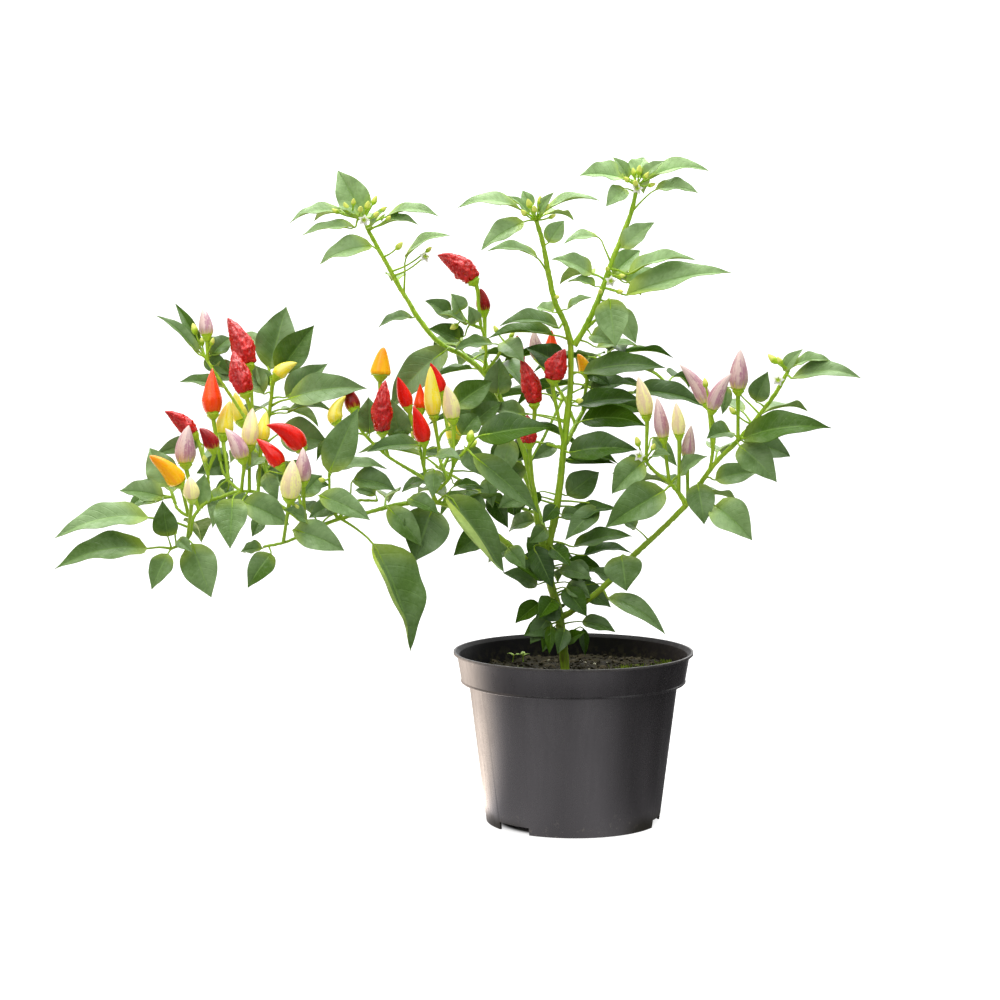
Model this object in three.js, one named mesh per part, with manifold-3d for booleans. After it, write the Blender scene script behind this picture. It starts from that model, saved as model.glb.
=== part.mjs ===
// A chilli pepper plant in fruit, growing in a thin round nursery pot.
// Millimetres, +Z up. The origin is the middle of the circle that the pot stands on.
// The plant's front faces -Y.
import * as THREE from "three";
import { mergeVertices } from "three/addons/utils/BufferGeometryUtils.js";
import Module from "manifold-3d";

const wasm = await Module();
wasm.setup();

// ---------------------------------------------------------------- driving dimensions

const GAP = 0.3; // between pieces that touch
const SIDES_ROUND = 30; // facets round the pot and the soil

const POT_HEIGHT = 100;
const POT_BASE_R = 50.8;
const POT_BODY_TOP_R = 61;
const POT_BAND_Z = 82; // underside of the wider band below the lip
const POT_BAND_R = 65.2;
const POT_BAND_TOP_R = 68;
const POT_LIP_R = 70;
const POT_LIP_T = 1.4;
const POT_WALL = 1.4;
const POT_FLOOR_Z = 4.8; // underside of the floor, between the feet
const POT_FLOOR_T = 1.4;
const FOOT_GAP_ANGLES = [-134, -14, 106]; // degrees, the three gaps in the foot ring
const FOOT_GAP_WIDTH = 23;
const FOOT_GAP_HEIGHT = 4.4;
const CENTRE_FOOT_R = 9; // the pad under the middle of the floor, level with the foot ring
const DRAIN_HOLES = 4;
const DRAIN_R = 4;
const DRAIN_RING_R = 33;

const SOIL_Z = 88;
const SOIL_BUMP = 1.4;

const BLADE_T = 0.7; // leaf blade thickness
const BLADE_FOLD = 0.36; // radians that each half of a blade rises from its rib
const BLADE_WAVE = 0.05; // of the blade's width
const SMALL_LEAF = 38; // shorter blades have one cross-section, longer ones two
const BIG_LEAF = 50; // and longer ones than this have three
const PETIOLE_R = 0.6;
const STALK_R = 0.8;
const BUD_STALK_R = 0.6;
const FLOWER_R = 4.4;
const FLOWER_NOTCH_R = 2; // where neighbouring petals part
const PETAL_T = 0.9;
const CALYX_H = 3;
const CALYX_SHARE = 0.33; // calyx radius over the fruit's width

// The eye that the plant's front elevation is drawn for. Every station below is written as
// x, z on the plane y = 0 and then its depth: spot() slides it along the line of sight.
const EYE = new THREE.Vector3(-43, -1500, 336);

const COLOURS = {
  pot: [0x2b2a2d, 0.42],
  soil: [0x2e241b, 1],
  leaf: [0x3f7a35, 0.5],
  stem: [0x7da431, 0.5],
  wrinkled: [0xb3120f, 0.32],
  dark: [0x7a0b0b, 0.3],
  red: [0xd11812, 0.25],
  scarlet: [0xee3d10, 0.25],
  orange: [0xf79a12, 0.25],
  yellow: [0xf6d921, 0.25],
  cream: [0xeedf9c, 0.25],
  lilac: [0xb98a9c, 0.25],
};

// ---------------------------------------------------------------- the plant's stations
//
// sweep:  how the whole limb reaches back or forward: an extra depth at each of two x or z
// stems:  start radius, end radius, then stations [x, z, depth]
// leaves: blade base x, z, depth, tip x, z, depth, width, turn, bow, and sometimes the x, z
//         on the stem that the leaf stalk leaves from. Turn 0 faces the blade up, 90 forward.
// fans:   x, z, depth of a node, number of leaves, first and last compass angle, rise, length
// fruits: base x, z, depth, tip x, z, depth, width, kind, and the x, z its stalk leaves from
// buds:   x, z, depth of the bud's middle and its diameter
// flowers: x, z, depth of the middle

const LIMBS = {
  main_stem: {
    stems: [
      [3, 1.7, [-4, 66, 0], [-5, 92, 0], [-7, 110, -1], [-9, 125, -1], [-13, 138, 0],
        [-15, 150, 0], [-14, 163, 0], [-11, 178, 0], [-8, 198, 1], [-6, 218, 1],
        [-4, 236, 1], [-2, 256, 0], [-2, 280, 0]],
    ],
    leaves: [
      [-14, 115, -6, -29, 109, -12, 13, 60, 0.06],
      [-20, 128, -2, -34, 116, -6, 12, 60, 0.06],
      [-21, 139, -2, -41, 146, -8, 14, 55, 0.06],
      [-12, 130, -9, -20, 119, -20, 13, 65, 0.06],
      [-17, 142, -8, -36, 152, -16, 12, 50, 0.06],
      [-4, 105, -6, 7, 111, -12, 9, 55, 0.06],
      [-5, 137, -8, 8, 120, -16, 14, 75, 0.03],
      [2, 137, -2, 22, 124, -8, 14, 60, 0.06],
      [-4, 151, 7, 17, 147, 16, 12, 50, 0.06],
      [5, 117, 0, 25, 111, -4, 11, 50, 0.09],
      [0, 161, -4, 34, 168, -12, 15, 30, 0.06],
      [-3, 177, -3, 25, 184, -12, 15, 40, 0.06],
      [-4, 191, 6, 15, 205, 14, 18, 75, 0.03],
      [-3, 216, -5, 37, 218, -15, 20, 55, 0.07],
      [5, 262, -5, 53, 266, -14, 18, 40, 0.07],
      [-6, 266, 4, -28, 277, 6, 18, 60, 0.05],
      [2, 243, 3, 40, 247, 8, 16, 35, 0.06],
      [-12, 160, -10, -2, 150, -24, 12, 60, 0.06],
    ],
    fans: [
      [-9, 124, 1, 1, 90, 90, 0, 26],
      [-14, 143, 2, 1, 80, 80, 10, 28],
    ],
    fruits: [[-12, 258, -8, -5, 276, -10, 13, "wrinkled", -8, 219]],
  },
  top_left: {
    sweep: ["x", -15, 0, -118, 32],
    stems: [
      [1.9, 1.3, [-15, 152, 0], [-20, 170, -4], [-24, 196, -4], [-30, 220, 2], [-40, 242, 6],
        [-52, 262, 10], [-64, 272, 10], [-77, 279, 8], [-90, 294, 7], [-96, 304, 6],
        [-101, 312, 6], [-108, 325, 5], [-118, 343, 4]],
      [1, 0.9, [-52, 262, 10], [-51, 278, 8], [-54, 290, 7]],
      [1, 0.8, [-52, 262, 10], [-44, 272, 4], [-40, 280, 0]],
      [1, 0.8, [-54, 288, 7], [-62, 292, 4], [-66, 298, 0]],
      [1, 0.8, [-118, 343, 4], [-122, 350, 2], [-128, 352, 0]],
    ],
    leaves: [
      [-121, 351, 4, -138, 379, 0, 20, 75, 0.04],
      [-133, 354, 2, -164, 349, -6, 13, 32, 0.13],
      [-126, 346, 0, -157, 342, -12, 13, 25, 0.06],
      [-108, 352, 3, -78, 353, -5, 12, 28, 0.11],
      [-112, 347, -1, -93, 348, -10, 10, 30, 0.12],
      [-116, 335, 1, -147, 325, -8, 17, 50, 0.12, -101, 309],
      [-97, 328, 4, -72, 342, -3, 12, 30, 0.12, -98, 308],
      [-93, 294, 4, -113, 289, -6, 10, 30, 0.12],
      [-63, 289, 0, -81, 292, -12, 12, 35, 0.06],
      [-66, 281, 1, -84, 288, -8, 13, 50, 0.06],
      [-47, 279, -3, -69, 276, -16, 13, 28, 0.07],
      [-41, 280, -4, -29, 269, -14, 15, 55, 0.06],
      [-66, 277, 14, -82, 282, 28, 16, 20, 0.06],
      [-73, 276, 0, -107, 241, -14, 21, 55, 0.13],
      [-44, 250, 2, -43, 271, -2, 17, 80, 0.03],
      [-28, 237, 0, -50, 241, -6, 15, 40, 0.07],
      [-36, 224, 0, -44, 199, -6, 15, 75, 0.02],
      [-27, 207, 4, -47, 195, 12, 16, 60, 0.03],
      [-24, 192, -6, -44, 184, -12, 15, 55, 0.06],
    ],
    fans: [
      [-118, 343, 5, 1, 80, 80, 10, 30],
      [-100, 311, 7, 1, 100, 100, 10, 30],
      [-60, 268, 11, 2, 50, 120, 5, 34],
    ],
    fruits: [
      [-58, 315, 4, -79, 330, 0, 13, "wrinkled", -54, 290],
      [-52, 297, 14, -54, 311, 13, 8.5, "dark", -51, 276],
      [-23, 244, -6, -31, 271, -9, 11, "wrinkled", -26, 207],
      [-26, 221, -12, -27, 238, -12, 10, "wrinkled", -23, 184],
    ],
    buds: [[-131, 357, -4, 4.5], [-119, 358, -6, 4.5], [-101, 335, 0, 4.5], [-69, 289, -4, 4.5]],
    flowers: [[-86, 329, 0]],
  },
  top_centre: {
    sweep: ["z", 279, 0, 350, -24],
    stems: [
      [1.8, 1.3, [-2, 279, 0], [-5, 290, 0], [-11, 303, -1], [-15, 320, -2], [-18, 336, -3],
        [-22, 350, -4]],
    ],
    leaves: [
      [-31, 356, -5, -67, 358, -14, 14, 28, 0.12],
      [-25, 357, 2, -30, 367, 8, 8, 60, 0.06],
      [-17, 355, -3, 14, 362, -9, 12, 28, 0.12],
      [-29, 349, -8, -54, 333, -18, 15, 50, 0.07],
      [-21, 328, -3, -50, 333, -12, 12, 28, 0.12, -15, 318],
      [-15, 337, 2, -6, 350, 8, 12, 60, 0.06],
      [-4, 299, -2, 10, 306, -8, 9, 40, 0.06],
      [-12, 297, 6, -22, 300, 16, 10, 35, 0.06],
      [-9, 288, -5, -43, 290, -16, 15, 35, 0.13],
      [-12, 284, 3, -50, 283, -3, 14, 30, 0.08, -3, 282],
    ],
    fans: [
      [-22, 350, -2, 2, 50, 120, 12, 30],
    ],
    buds: [[-26, 359, -10, 4.5]],
  },
  top_right: {
    sweep: ["z", 278, 0, 370, 16],
    stems: [
      [1.8, 1.3, [0, 278, 0], [5, 286, -2], [12, 300, -4], [17, 313, -5], [21, 325, -5],
        [28, 342, -4], [33, 356, -3], [36, 370, -3]],
      [1, 0.8, [5, 286, -2], [13, 293, -6], [18, 296, -8]],
    ],
    leaves: [
      [29, 373, -5, 3, 376, -14, 17, 40, 0.07],
      [34, 374, 2, 40, 386, 8, 14, 70, 0.06],
      [42, 373, -4, 77, 379, -12, 14, 30, 0.12],
      [46, 367, -6, 71, 366, -18, 14, 35, 0.09, 34, 354],
      [29, 368, -7, 18, 358, -16, 12, 55, 0.06],
      [27, 334, -5, 46, 349, -8, 14, 60, 0.05],
      [14, 340, -6, -6, 337, -14, 11, 30, 0.09, 20, 326],
      [10, 319, -8, -13, 328, -14, 15, 50, 0.11],
      [12, 312, 2, -4, 315, 10, 10, 25, 0.09],
      [22, 319, 2, 38, 333, 8, 14, 58, 0.06],
      [31, 319, -7, 70, 328, -14, 14, 32, 0.11],
      [30, 314, 2, 51, 320, 10, 12, 30, 0.06],
      [29, 307, -11, 90, 321, -22, 22, 45, 0.06],
      [20, 305, -13, 24, 277, -19, 20, 88, 0],
      [24, 300, 4, 36, 279, 10, 13, 55, 0.06],
      [13, 277, 4, 38, 278, 10, 12, 30, 0.06, 2, 282],
    ],
    fans: [
      [35, 368, -2, 1, 80, 80, 12, 28],
      [18, 315, -3, 2, 60, 130, 8, 34],
    ],
    buds: [[37, 378, -9, 4.5]],
    flowers: [[21, 315, -13]],
  },
  right_limb: {
    sweep: ["x", -8, 0, 124, -28],
    stems: [
      [1.9, 1.5, [-8, 119, -1], [2, 125, -4], [18, 138, -8], [36, 157, -12], [50, 170, -15],
        [65, 185, -18]],
      [1.2, 0.9, [65, 185, -18], [61, 192, -18], [55, 199, -17], [47, 205, -16],
        [41, 212, -15]],
      [1.5, 1.1, [65, 185, -18], [77, 203, -19], [83, 211, -19], [95, 223, -18],
        [109, 240, -18], [117, 251, -18], [124, 264, -18]],
      [1, 0.8, [79, 206, -19], [81, 220, -21], [82, 230, -22]],
    ],
    leaves: [
      [40, 210, -20, 22, 192, -28, 18, 65, 0.09],
      [42, 208, -8, 22, 204, -2, 16, 50, 0.06],
      [52, 194, -23, 16, 173, -34, 23, 65, 0.05],
      [45, 213, -17, 58, 215, -26, 9, 40, 0.06],
      [90, 228, -20, 73, 225, -30, 14, 50, 0.06],
      [72, 198, -25, 76, 174, -32, 17, 80, 0.03],
      [82, 185, -23, 104, 165, -32, 22, 65, 0.09],
      [82, 200, -9, 107, 205, -2, 15, 50, 0.06],
      [96, 220, -24, 118, 199, -32, 20, 68, 0.06],
      [98, 224, -22, 149, 231, -34, 21, 55, 0.1],
      [99, 222, -10, 126, 214, -4, 17, 55, 0.06],
      [105, 246, -20, 112, 263, -26, 13, 70, 0.02],
      [127, 266, -19, 149, 269, -25, 11, 40, 0.12],
      [126, 259, -21, 166, 260, -30, 14, 38, 0.12],
      [20, 131, -10, 54, 110, -16, 13, 45, 0.15],
      [28, 156, -18, 31, 135, -24, 23, 85, 0.02],
    ],
    fans: [
      [66, 187, -16, 2, 40, 120, 8, 36],
      [82, 210, -17, 1, 80, 80, 8, 36],
      [103, 233, -16, 2, 40, 120, 10, 34],
    ],
    fruits: [
      [42, 237, -16, 37, 260, -16, 9.5, "cream", 42, 211],
      [52, 224, -22, 48, 248, -22, 8.5, "lilac", 55, 199],
      [61, 226, -27, 59, 245, -28, 8, "cream", 61, 192],
      [66, 213, -19, 68, 232, -19, 8, "lilac", 66, 187],
      [77, 244, -17, 61, 267, -19, 9, "lilac", 81, 218],
      [80, 241, -29, 91, 262, -31, 9, "lilac", 81, 224],
      [95, 252, -19, 96, 276, -19, 11, "lilac", 95, 223],
    ],
    buds: [[115, 270, -17, 5], [76, 256, -27, 4], [37, 222, -22, 4.5]],
    flowers: [[38, 214, -24]],
  },
  left_arm: {
    sweep: ["x", -14, 0, -167, -30],
    stems: [
      [1.8, 0.8, [-14, 144, 0], [-28, 154, -6], [-45, 168, -11], [-62, 180, -13],
        [-80, 187, -14], [-100, 186, -14], [-120, 181, -14], [-137, 177, -14],
        [-152, 171, -14], [-167, 164, -15], [-180, 161, -16]],
      [1, 0.8, [-137, 177, -14], [-141, 186, -14], [-142, 202, -14]],
      [1, 0.8, [-152, 171, -14], [-157, 180, -11], [-160, 192, -6], [-163, 202, 0]],
      [0.9, 0.8, [-137, 177, -14], [-128, 187, -12], [-114, 188, -12]],
    ],
    leaves: [
      [-117, 163, -24, -94, 100, -36, 30, 16, 0.07, -134, 177],
      [-74, 191, -19, -40, 146, -30, 18, 62, 0.09, -78, 187],
      [-82, 184, -17, -93, 152, -22, 28, 85, 0.03],
      [-108, 184, -19, -88, 161, -26, 15, 60, 0.06],
      [-52, 169, -9, -70, 156, -16, 15, 62, 0.06],
      [-38, 160, -14, -28, 148, -24, 12, 65, 0.06],
      [-70, 196, -14, -54, 197, -22, 9, 30, 0.06, -76, 186],
      [-148, 191, -18, -118, 177, -28, 16, 52, 0.06, -141, 186],
      [-163, 171, -19, -133, 159, -27, 18, 58, 0.07],
      [-176, 157, -18, -190, 137, -26, 15, 65, 0.06],
      [-181, 160, -9, -194, 158, -3, 10, 45, 0.06],
      [-142, 204, -15, -125, 242, -20, 20, 78, 0.02],
      [-140, 205, -11, -108, 207, -18, 11, 28, 0.12],
      [-128, 200, -13, -103, 194, -22, 15, 50, 0.12, -131, 184],
      [-158, 190, -4, -146, 203, 2, 14, 60, 0.06],
      [-96, 189, -20, -78, 180, -32, 13, 45, 0.06],
      [-155, 176, -20, -168, 183, -30, 12, 50, 0.06],
    ],
    fans: [
      [-72, 184, -11, 2, 50, 120, 8, 36],
      [-110, 184, -12, 1, 90, 90, 8, 36],
      [-148, 173, -12, 2, 60, 120, 10, 32],
    ],
    fruits: [
      [-165, 189, -27, -163, 212, -27, 12, "cream", -167, 165],
      [-157, 199, -18, -157, 219, -18, 9.5, "lilac", -157, 180],
      [-158, 218, -5, -178, 232, -10, 12, "red", -160, 192],
    ],
  },
  middle: {
    sweep: ["x", -14, 0, -167, -30],
    stems: [
      [1.3, 0.9, [-80, 187, -14], [-85, 200, -13], [-88, 212, -12], [-90, 222, -8]],
      [1.1, 0.8, [-85, 200, -13], [-97, 207, -9], [-108, 214, -6], [-119, 224, -2],
        [-127, 234, 3]],
      [1.1, 0.8, [-82, 192, -14], [-73, 200, -16], [-69, 210, -17], [-62, 218, -19]],
      [1, 0.8, [-73, 200, -16], [-78, 214, -9], [-77, 226, -3], [-66, 234, 2]],
    ],
    leaves: [
      [-90, 220, -20, -120, 217, -28, 13, 38, 0.06],
      [-118, 226, -5, -121, 247, -8, 15, 75, 0.03],
      [-100, 222, 3, -106, 247, 8, 16, 70, 0.03],
      [-82, 206, -20, -84, 190, -26, 11, 72, 0.03],
      [-74, 199, -10, -98, 197, -2, 13, 35, 0.09],
      [-70, 242, 3, -47, 258, 8, 18, 62, 0.03],
      [-56, 225, -24, -13, 231, -34, 21, 55, 0.05],
      [-59, 215, -25, -20, 181, -32, 17, 60, 0.03],
      [-66, 226, -8, -55, 238, -2, 15, 60, 0.06],
      [-60, 232, 8, -44, 246, 14, 15, 55, 0.06],
    ],
    fans: [
      [-120, 226, 1, 2, 60, 140, 8, 32],
    ],
    fruits: [
      [-112, 260, 3, -110, 277, 3, 12, "orange", -110, 216],
      [-111, 228, -12, -109, 258, -12, 11.5, "wrinkled", -108, 214],
      [-96, 242, -4, -102, 260, -6, 8.5, "red", -92, 212],
      [-87, 222, -15, -93, 243, -17, 10, "red", -87, 208],
      [-89, 240, 6, -89, 256, 6, 8, "scarlet", -90, 222],
      [-77, 250, 7, -83, 268, 6, 9, "red", -77, 228],
      [-81, 237, -5, -83, 266, -7, 10, "yellow", -78, 215],
      [-70, 235, -14, -74, 255, -15, 10, "cream", -70, 208],
      [-137, 233, 6, -132, 249, 6, 9, "yellow", -124, 230],
      [-127, 240, 10, -133, 256, 12, 9, "dark", -126, 232],
    ],
    buds: [[-60, 225, -12, 6]],
  },
  left_upper: {
    sweep: ["z", 171, -27, 271, 14],
    stems: [
      [1.3, 0.9, [-152, 171, -14], [-163, 180, -8], [-173, 188, -2], [-178, 204, 2],
        [-178, 222, 4], [-176, 242, 3]],
      [1.1, 0.9, [-173, 188, -2], [-185, 193, -6], [-198, 193, -9]],
      [1.1, 0.8, [-178, 214, 3], [-188, 232, 5], [-198, 248, 4], [-206, 260, 2],
        [-213, 271, 0]],
      [1, 0.8, [-176, 242, 3], [-175, 254, 4], [-176, 262, 6]],
      [0.9, 0.8, [-193, 193, -8], [-202, 202, -5], [-206, 214, -3]],
    ],
    leaves: [
      [-176, 264, 8, -166, 301, 5, 25, 85, 0],
      [-171, 262, 1, -150, 290, -8, 20, 78, 0],
      [-167, 250, -5, -146, 273, -14, 18, 72, 0],
      [-165, 247, -10, -120, 254, -20, 21, 52, 0.08],
      [-166, 239, -4, -139, 240, -12, 9, 28, 0.15],
      [-179, 250, 7, -187, 268, 12, 14, 65, 0.06],
      [-210, 272, 4, -198, 283, 12, 14, 65, 0.06],
      [-208, 266, 5, -195, 258, 12, 14, 65, 0.06],
      [-202, 254, -2, -227, 257, -10, 11, 38, 0.07],
      [-217, 273, -3, -241, 296, -10, 9, 20, 0.07],
      [-216, 276, 2, -230, 303, 4, 8, 25, 0.03],
      [-198, 189, -24, -200, 160, -31, 20, 82, 0.03, -190, 194],
      [-192, 187, -16, -165, 174, -9, 19, 58, 0.06, -188, 193],
      [-204, 195, -20, -210, 173, -27, 12, 72, 0.03, -196, 196],
      [-205, 200, -16, -221, 206, -24, 19, 62, 0.06],
      [-203, 206, 3, -213, 218, 12, 16, 60, 0.06],
      [-184, 197, 4, -168, 203, 14, 17, 58, 0.06],
      [-170, 227, 8, -142, 222, 6, 22, 68, 0.03, -178, 220],
    ],
    fans: [
      [-178, 206, 4, 2, 60, 120, 8, 36],
      [-177, 238, 5, 2, 50, 120, 8, 36],
    ],
    fruits: [
      [-209, 238, -10, -209, 265, -12, 12, "scarlet", -206, 214],
      [-188, 266, -3, -200, 294, -5, 13, "wrinkled", -186, 230],
      [-190, 250, -18, -197, 275, -20, 12, "wrinkled", -184, 226],
      [-212, 283, -4, -214, 300, -4, 8.5, "lilac", -212, 270],
      [-172, 260, -8, -160, 268, -10, 8.5, "yellow", -176, 240],
      [-203, 225, 0, -199, 246, -1, 11, "yellow", -199, 198],
      [-192, 233, 14, -196, 251, 14, 10, "yellow", -188, 194],
      [-188, 219, -16, -186, 242, -17, 10, "cream", -187, 194],
      [-181, 222, -9, -178, 240, -10, 8.5, "yellow", -183, 192],
      [-192, 212, -21, -202, 230, -24, 10, "lilac", -192, 194],
      [-170, 208, -26, -184, 224, -29, 10, "red", -168, 185],
    ],
    buds: [[-219, 287, -2, 5]],
  },
  left_spray: {
    sweep: ["x", -197, -18, -302, -44],
    stems: [
      [1.1, 0.8, [-197, 193, -9], [-205, 190, -10], [-213, 187, -12], [-221, 178, -15],
        [-223, 168, -16], [-229, 162, -17], [-234, 160, -18]],
      [0.9, 0.8, [-221, 178, -15], [-229, 182, -12], [-233, 190, -8]],
      [0.9, 0.8, [-210, 188, -11], [-212, 198, -8], [-212, 206, -7]],
    ],
    leaves: [
      [-247, 178, -18, -302, 167, -28, 20, 45, 0.12, -223, 172],
      [-248, 160, -20, -302, 149, -30, 21, 48, 0.12],
      [-236, 157, -20, -246, 136, -28, 14, 62, 0.03],
      [-222, 163, -21, -211, 131, -28, 22, 80, 0.02],
      [-236, 167, -22, -239, 188, -28, 15, 78, 0.02],
      [-230, 165, -20, -222, 158, -30, 8, 60, 0.06],
      [-238, 190, -8, -264, 194, -3, 16, 52, 0.06],
      [-235, 196, -3, -246, 219, 3, 19, 68, 0.03],
      [-217, 183, -8, -211, 203, -8, 13, 72, 0],
    ],
    fans: [
      [-222, 172, -14, 1, 90, 90, 5, 36],
      [-231, 186, -9, 1, 110, 110, 10, 32],
    ],
    fruits: [
      [-229, 198, -20, -246, 214, -23, 11.5, "orange", -225, 180],
      [-225, 209, -8, -223, 232, -8, 12, "lilac", -219, 181],
      [-222, 189, -29, -223, 202, -30, 9.5, "cream", -223, 168],
      [-220, 226, 5, -237, 240, 4, 9.5, "wrinkled", -212, 202],
      [-209, 218, -9, -217, 230, -9, 9.5, "dark", -212, 206],
    ],
  },
  back_left: {
    stems: [
      [1.7, 1, [-14, 160, 0], [-20, 180, 18], [-29, 204, 36], [-38, 228, 50],
        [-45, 250, 62], [-50, 266, 70]],
      [1.1, 0.8, [-29, 204, 36], [-20, 220, 54], [-12, 236, 68], [-6, 248, 78]],
      [1.1, 0.8, [-20, 180, 18], [-42, 188, 38], [-62, 198, 54], [-80, 208, 66]],
    ],
    leaves: [
      [-38, 192, 30, -32, 178, 24, 15, 60, 0.06],
      [-34, 214, 36, -22, 222, 30, 15, 55, 0.06],
      [-42, 246, 52, -58, 240, 46, 15, 50, 0.06],
    ],
    fans: [
      [-39, 231, 52, 3, -10, 190, 5, 42],
      [-49, 262, 68, 4, 20, 290, 12, 40],
      [-6, 246, 76, 3, -10, 200, 15, 38],
      [-46, 190, 41, 1, 130, 130, 5, 38],
      [-78, 207, 65, 3, 50, 290, 12, 38],
    ],
    fruits: [
      [-36, 262, 74, -33, 284, 76, 11, "wrinkled", -44, 248],
      [-70, 222, 72, -72, 243, 74, 10, "yellow", -72, 204],
    ],
    buds: [[-52, 276, 72, 4.5]],
  },
  back_right: {
    stems: [
      [1.6, 1, [-6, 219, 1], [1, 232, 14], [9, 247, 28], [15, 259, 42], [19, 270, 54]],
      [1.1, 0.8, [9, 247, 28], [26, 250, 36], [42, 252, 44], [56, 256, 52]],
      [1, 0.9, [1, 232, 14], [-6, 248, 24], [-12, 258, 28]],
    ],
    leaves: [
      [34, 251, 34, 77, 243, 26, 16, 38, 0.09],
      [4, 234, 8, 42, 232, 4, 18, 45, 0.12],
      [8, 252, 18, 33, 256, 12, 14, 35, 0.06],
      [20, 246, 26, 44, 238, 20, 15, 50, 0.06],
    ],
    fans: [
      [12, 253, 34, 1, 150, 150, 5, 38],
      [19, 268, 52, 4, 20, 280, 12, 38],
      [54, 255, 51, 3, 70, 200, 12, 40],
    ],
    fruits: [
      [-20, 270, 28, -23, 287, 28, 8.5, "lilac", -10, 254],
      [-13, 272, 38, -13, 287, 38, 8.5, "scarlet", -11, 257],
      [7, 262, 20, 2, 273, 20, 8.5, "orange", 6, 240],
    ],
    buds: [[20, 281, 56, 4.5]],
  },
};

// ---------------------------------------------------------------- solids

// A three.js geometry as a closed solid, its faces turned outwards.
function solid(geometry) {
  geometry.deleteAttribute("normal");
  geometry.deleteAttribute("uv");
  const merged = mergeVertices(geometry, 1e-4);
  const index = merged.index.array;
  const triVerts = [];
  for (let i = 0; i < index.length; i += 3) {
    const [a, b, c] = index.slice(i, i + 3);
    if (a !== b && b !== c && c !== a) triVerts.push(a, b, c);
  }
  const vertProperties = new Float32Array(merged.attributes.position.array);
  const mesh = { numProp: 3, vertProperties, triVerts: new Uint32Array(triVerts) };
  if (signedVolume(mesh) < 0) mesh.triVerts.reverse();
  return new wasm.Manifold(new wasm.Mesh(mesh));
}

function signedVolume({ vertProperties, triVerts }) {
  const point = (i) => new THREE.Vector3().fromArray(vertProperties, 3 * i);
  let sum = 0;
  for (let i = 0; i < triVerts.length; i += 3) {
    const [a, b, c] = [point(triVerts[i]), point(triVerts[i + 1]), point(triVerts[i + 2])];
    sum += a.dot(b.cross(c));
  }
  return sum;
}

// The largest single body of a solid: the offcuts of a cut are dropped.
function largestBody(body) {
  const bodies = body.decompose();
  return bodies.reduce((best, next) => (next.volume() > best.volume() ? next : best));
}

function join(bodies) {
  return bodies.reduce((sum, next) => sum.add(next));
}

function overlap(a, b) {
  const [p, q] = [a.boundingBox(), b.boundingBox()];
  const apart = [0, 1, 2].some((k) => p.min[k] > q.max[k] || q.min[k] > p.max[k]);
  return !apart && !a.intersect(b).isEmpty();
}

const part = new THREE.Group();

function addMesh(name, body, colour) {
  const { vertProperties, triVerts } = body.getMesh();
  const geometry = new THREE.BufferGeometry();
  geometry.setAttribute("position", new THREE.BufferAttribute(vertProperties, 3));
  geometry.setIndex(new THREE.BufferAttribute(triVerts, 1));
  const [color, roughness] = COLOURS[colour];
  const material = new THREE.MeshStandardMaterial({ color, roughness, metalness: 0 });
  const mesh = new THREE.Mesh(geometry, material);
  mesh.name = name;
  part.add(mesh);
}

// ---------------------------------------------------------------- pot and soil

function turned(profile) {
  const points = profile.map(([r, z]) => new THREE.Vector2(r, z));
  return new THREE.LatheGeometry(points, SIDES_ROUND).rotateX(Math.PI / 2);
}

function makePot() {
  const floorTop = POT_FLOOR_Z + POT_FLOOR_T;
  const lean = (POT_BODY_TOP_R - POT_BASE_R) / POT_BAND_Z;
  const body = solid(turned([
    [0, POT_FLOOR_Z],
    [POT_BASE_R + lean * POT_FLOOR_Z - POT_WALL, POT_FLOOR_Z],
    [POT_BASE_R - POT_WALL, 0],
    [POT_BASE_R, 0],
    [POT_BODY_TOP_R, POT_BAND_Z],
    [POT_BAND_R, POT_BAND_Z],
    [POT_BAND_TOP_R, POT_HEIGHT - POT_LIP_T],
    [POT_LIP_R, POT_HEIGHT - POT_LIP_T],
    [POT_LIP_R, POT_HEIGHT],
    [POT_BAND_TOP_R - POT_WALL, POT_HEIGHT],
    [POT_BAND_R - POT_WALL, POT_BAND_Z + POT_WALL],
    [POT_BODY_TOP_R - POT_WALL, POT_BAND_Z],
    [POT_BASE_R + lean * floorTop - POT_WALL, floorTop],
    [0, floorTop],
  ]));
  const cutters = FOOT_GAP_ANGLES.map((degrees) => {
    const box = new THREE.BoxGeometry(16, FOOT_GAP_WIDTH, 2 * FOOT_GAP_HEIGHT);
    const turn = new THREE.Matrix4().makeRotationZ(THREE.MathUtils.degToRad(degrees));
    return solid(box.translate(POT_BASE_R, 0, 0).applyMatrix4(turn));
  });
  for (let i = 0; i < DRAIN_HOLES; i++) {
    const hole = new THREE.CylinderGeometry(DRAIN_R, DRAIN_R, 4 * POT_FLOOR_T, 6);
    const turn = new THREE.Matrix4().makeRotationZ((2 * Math.PI * i) / DRAIN_HOLES);
    hole.rotateX(Math.PI / 2).translate(DRAIN_RING_R, 0, floorTop).applyMatrix4(turn);
    cutters.push(solid(hole));
  }
  const padHeight = POT_FLOOR_Z + 0.5 * POT_FLOOR_T;
  const pad = new THREE.CylinderGeometry(CENTRE_FOOT_R, CENTRE_FOOT_R, padHeight, 10);
  const centreFoot = solid(pad.rotateX(Math.PI / 2).translate(0, 0, 0.5 * padHeight));
  return body.subtract(join(cutters)).add(centreFoot);
}

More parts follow.
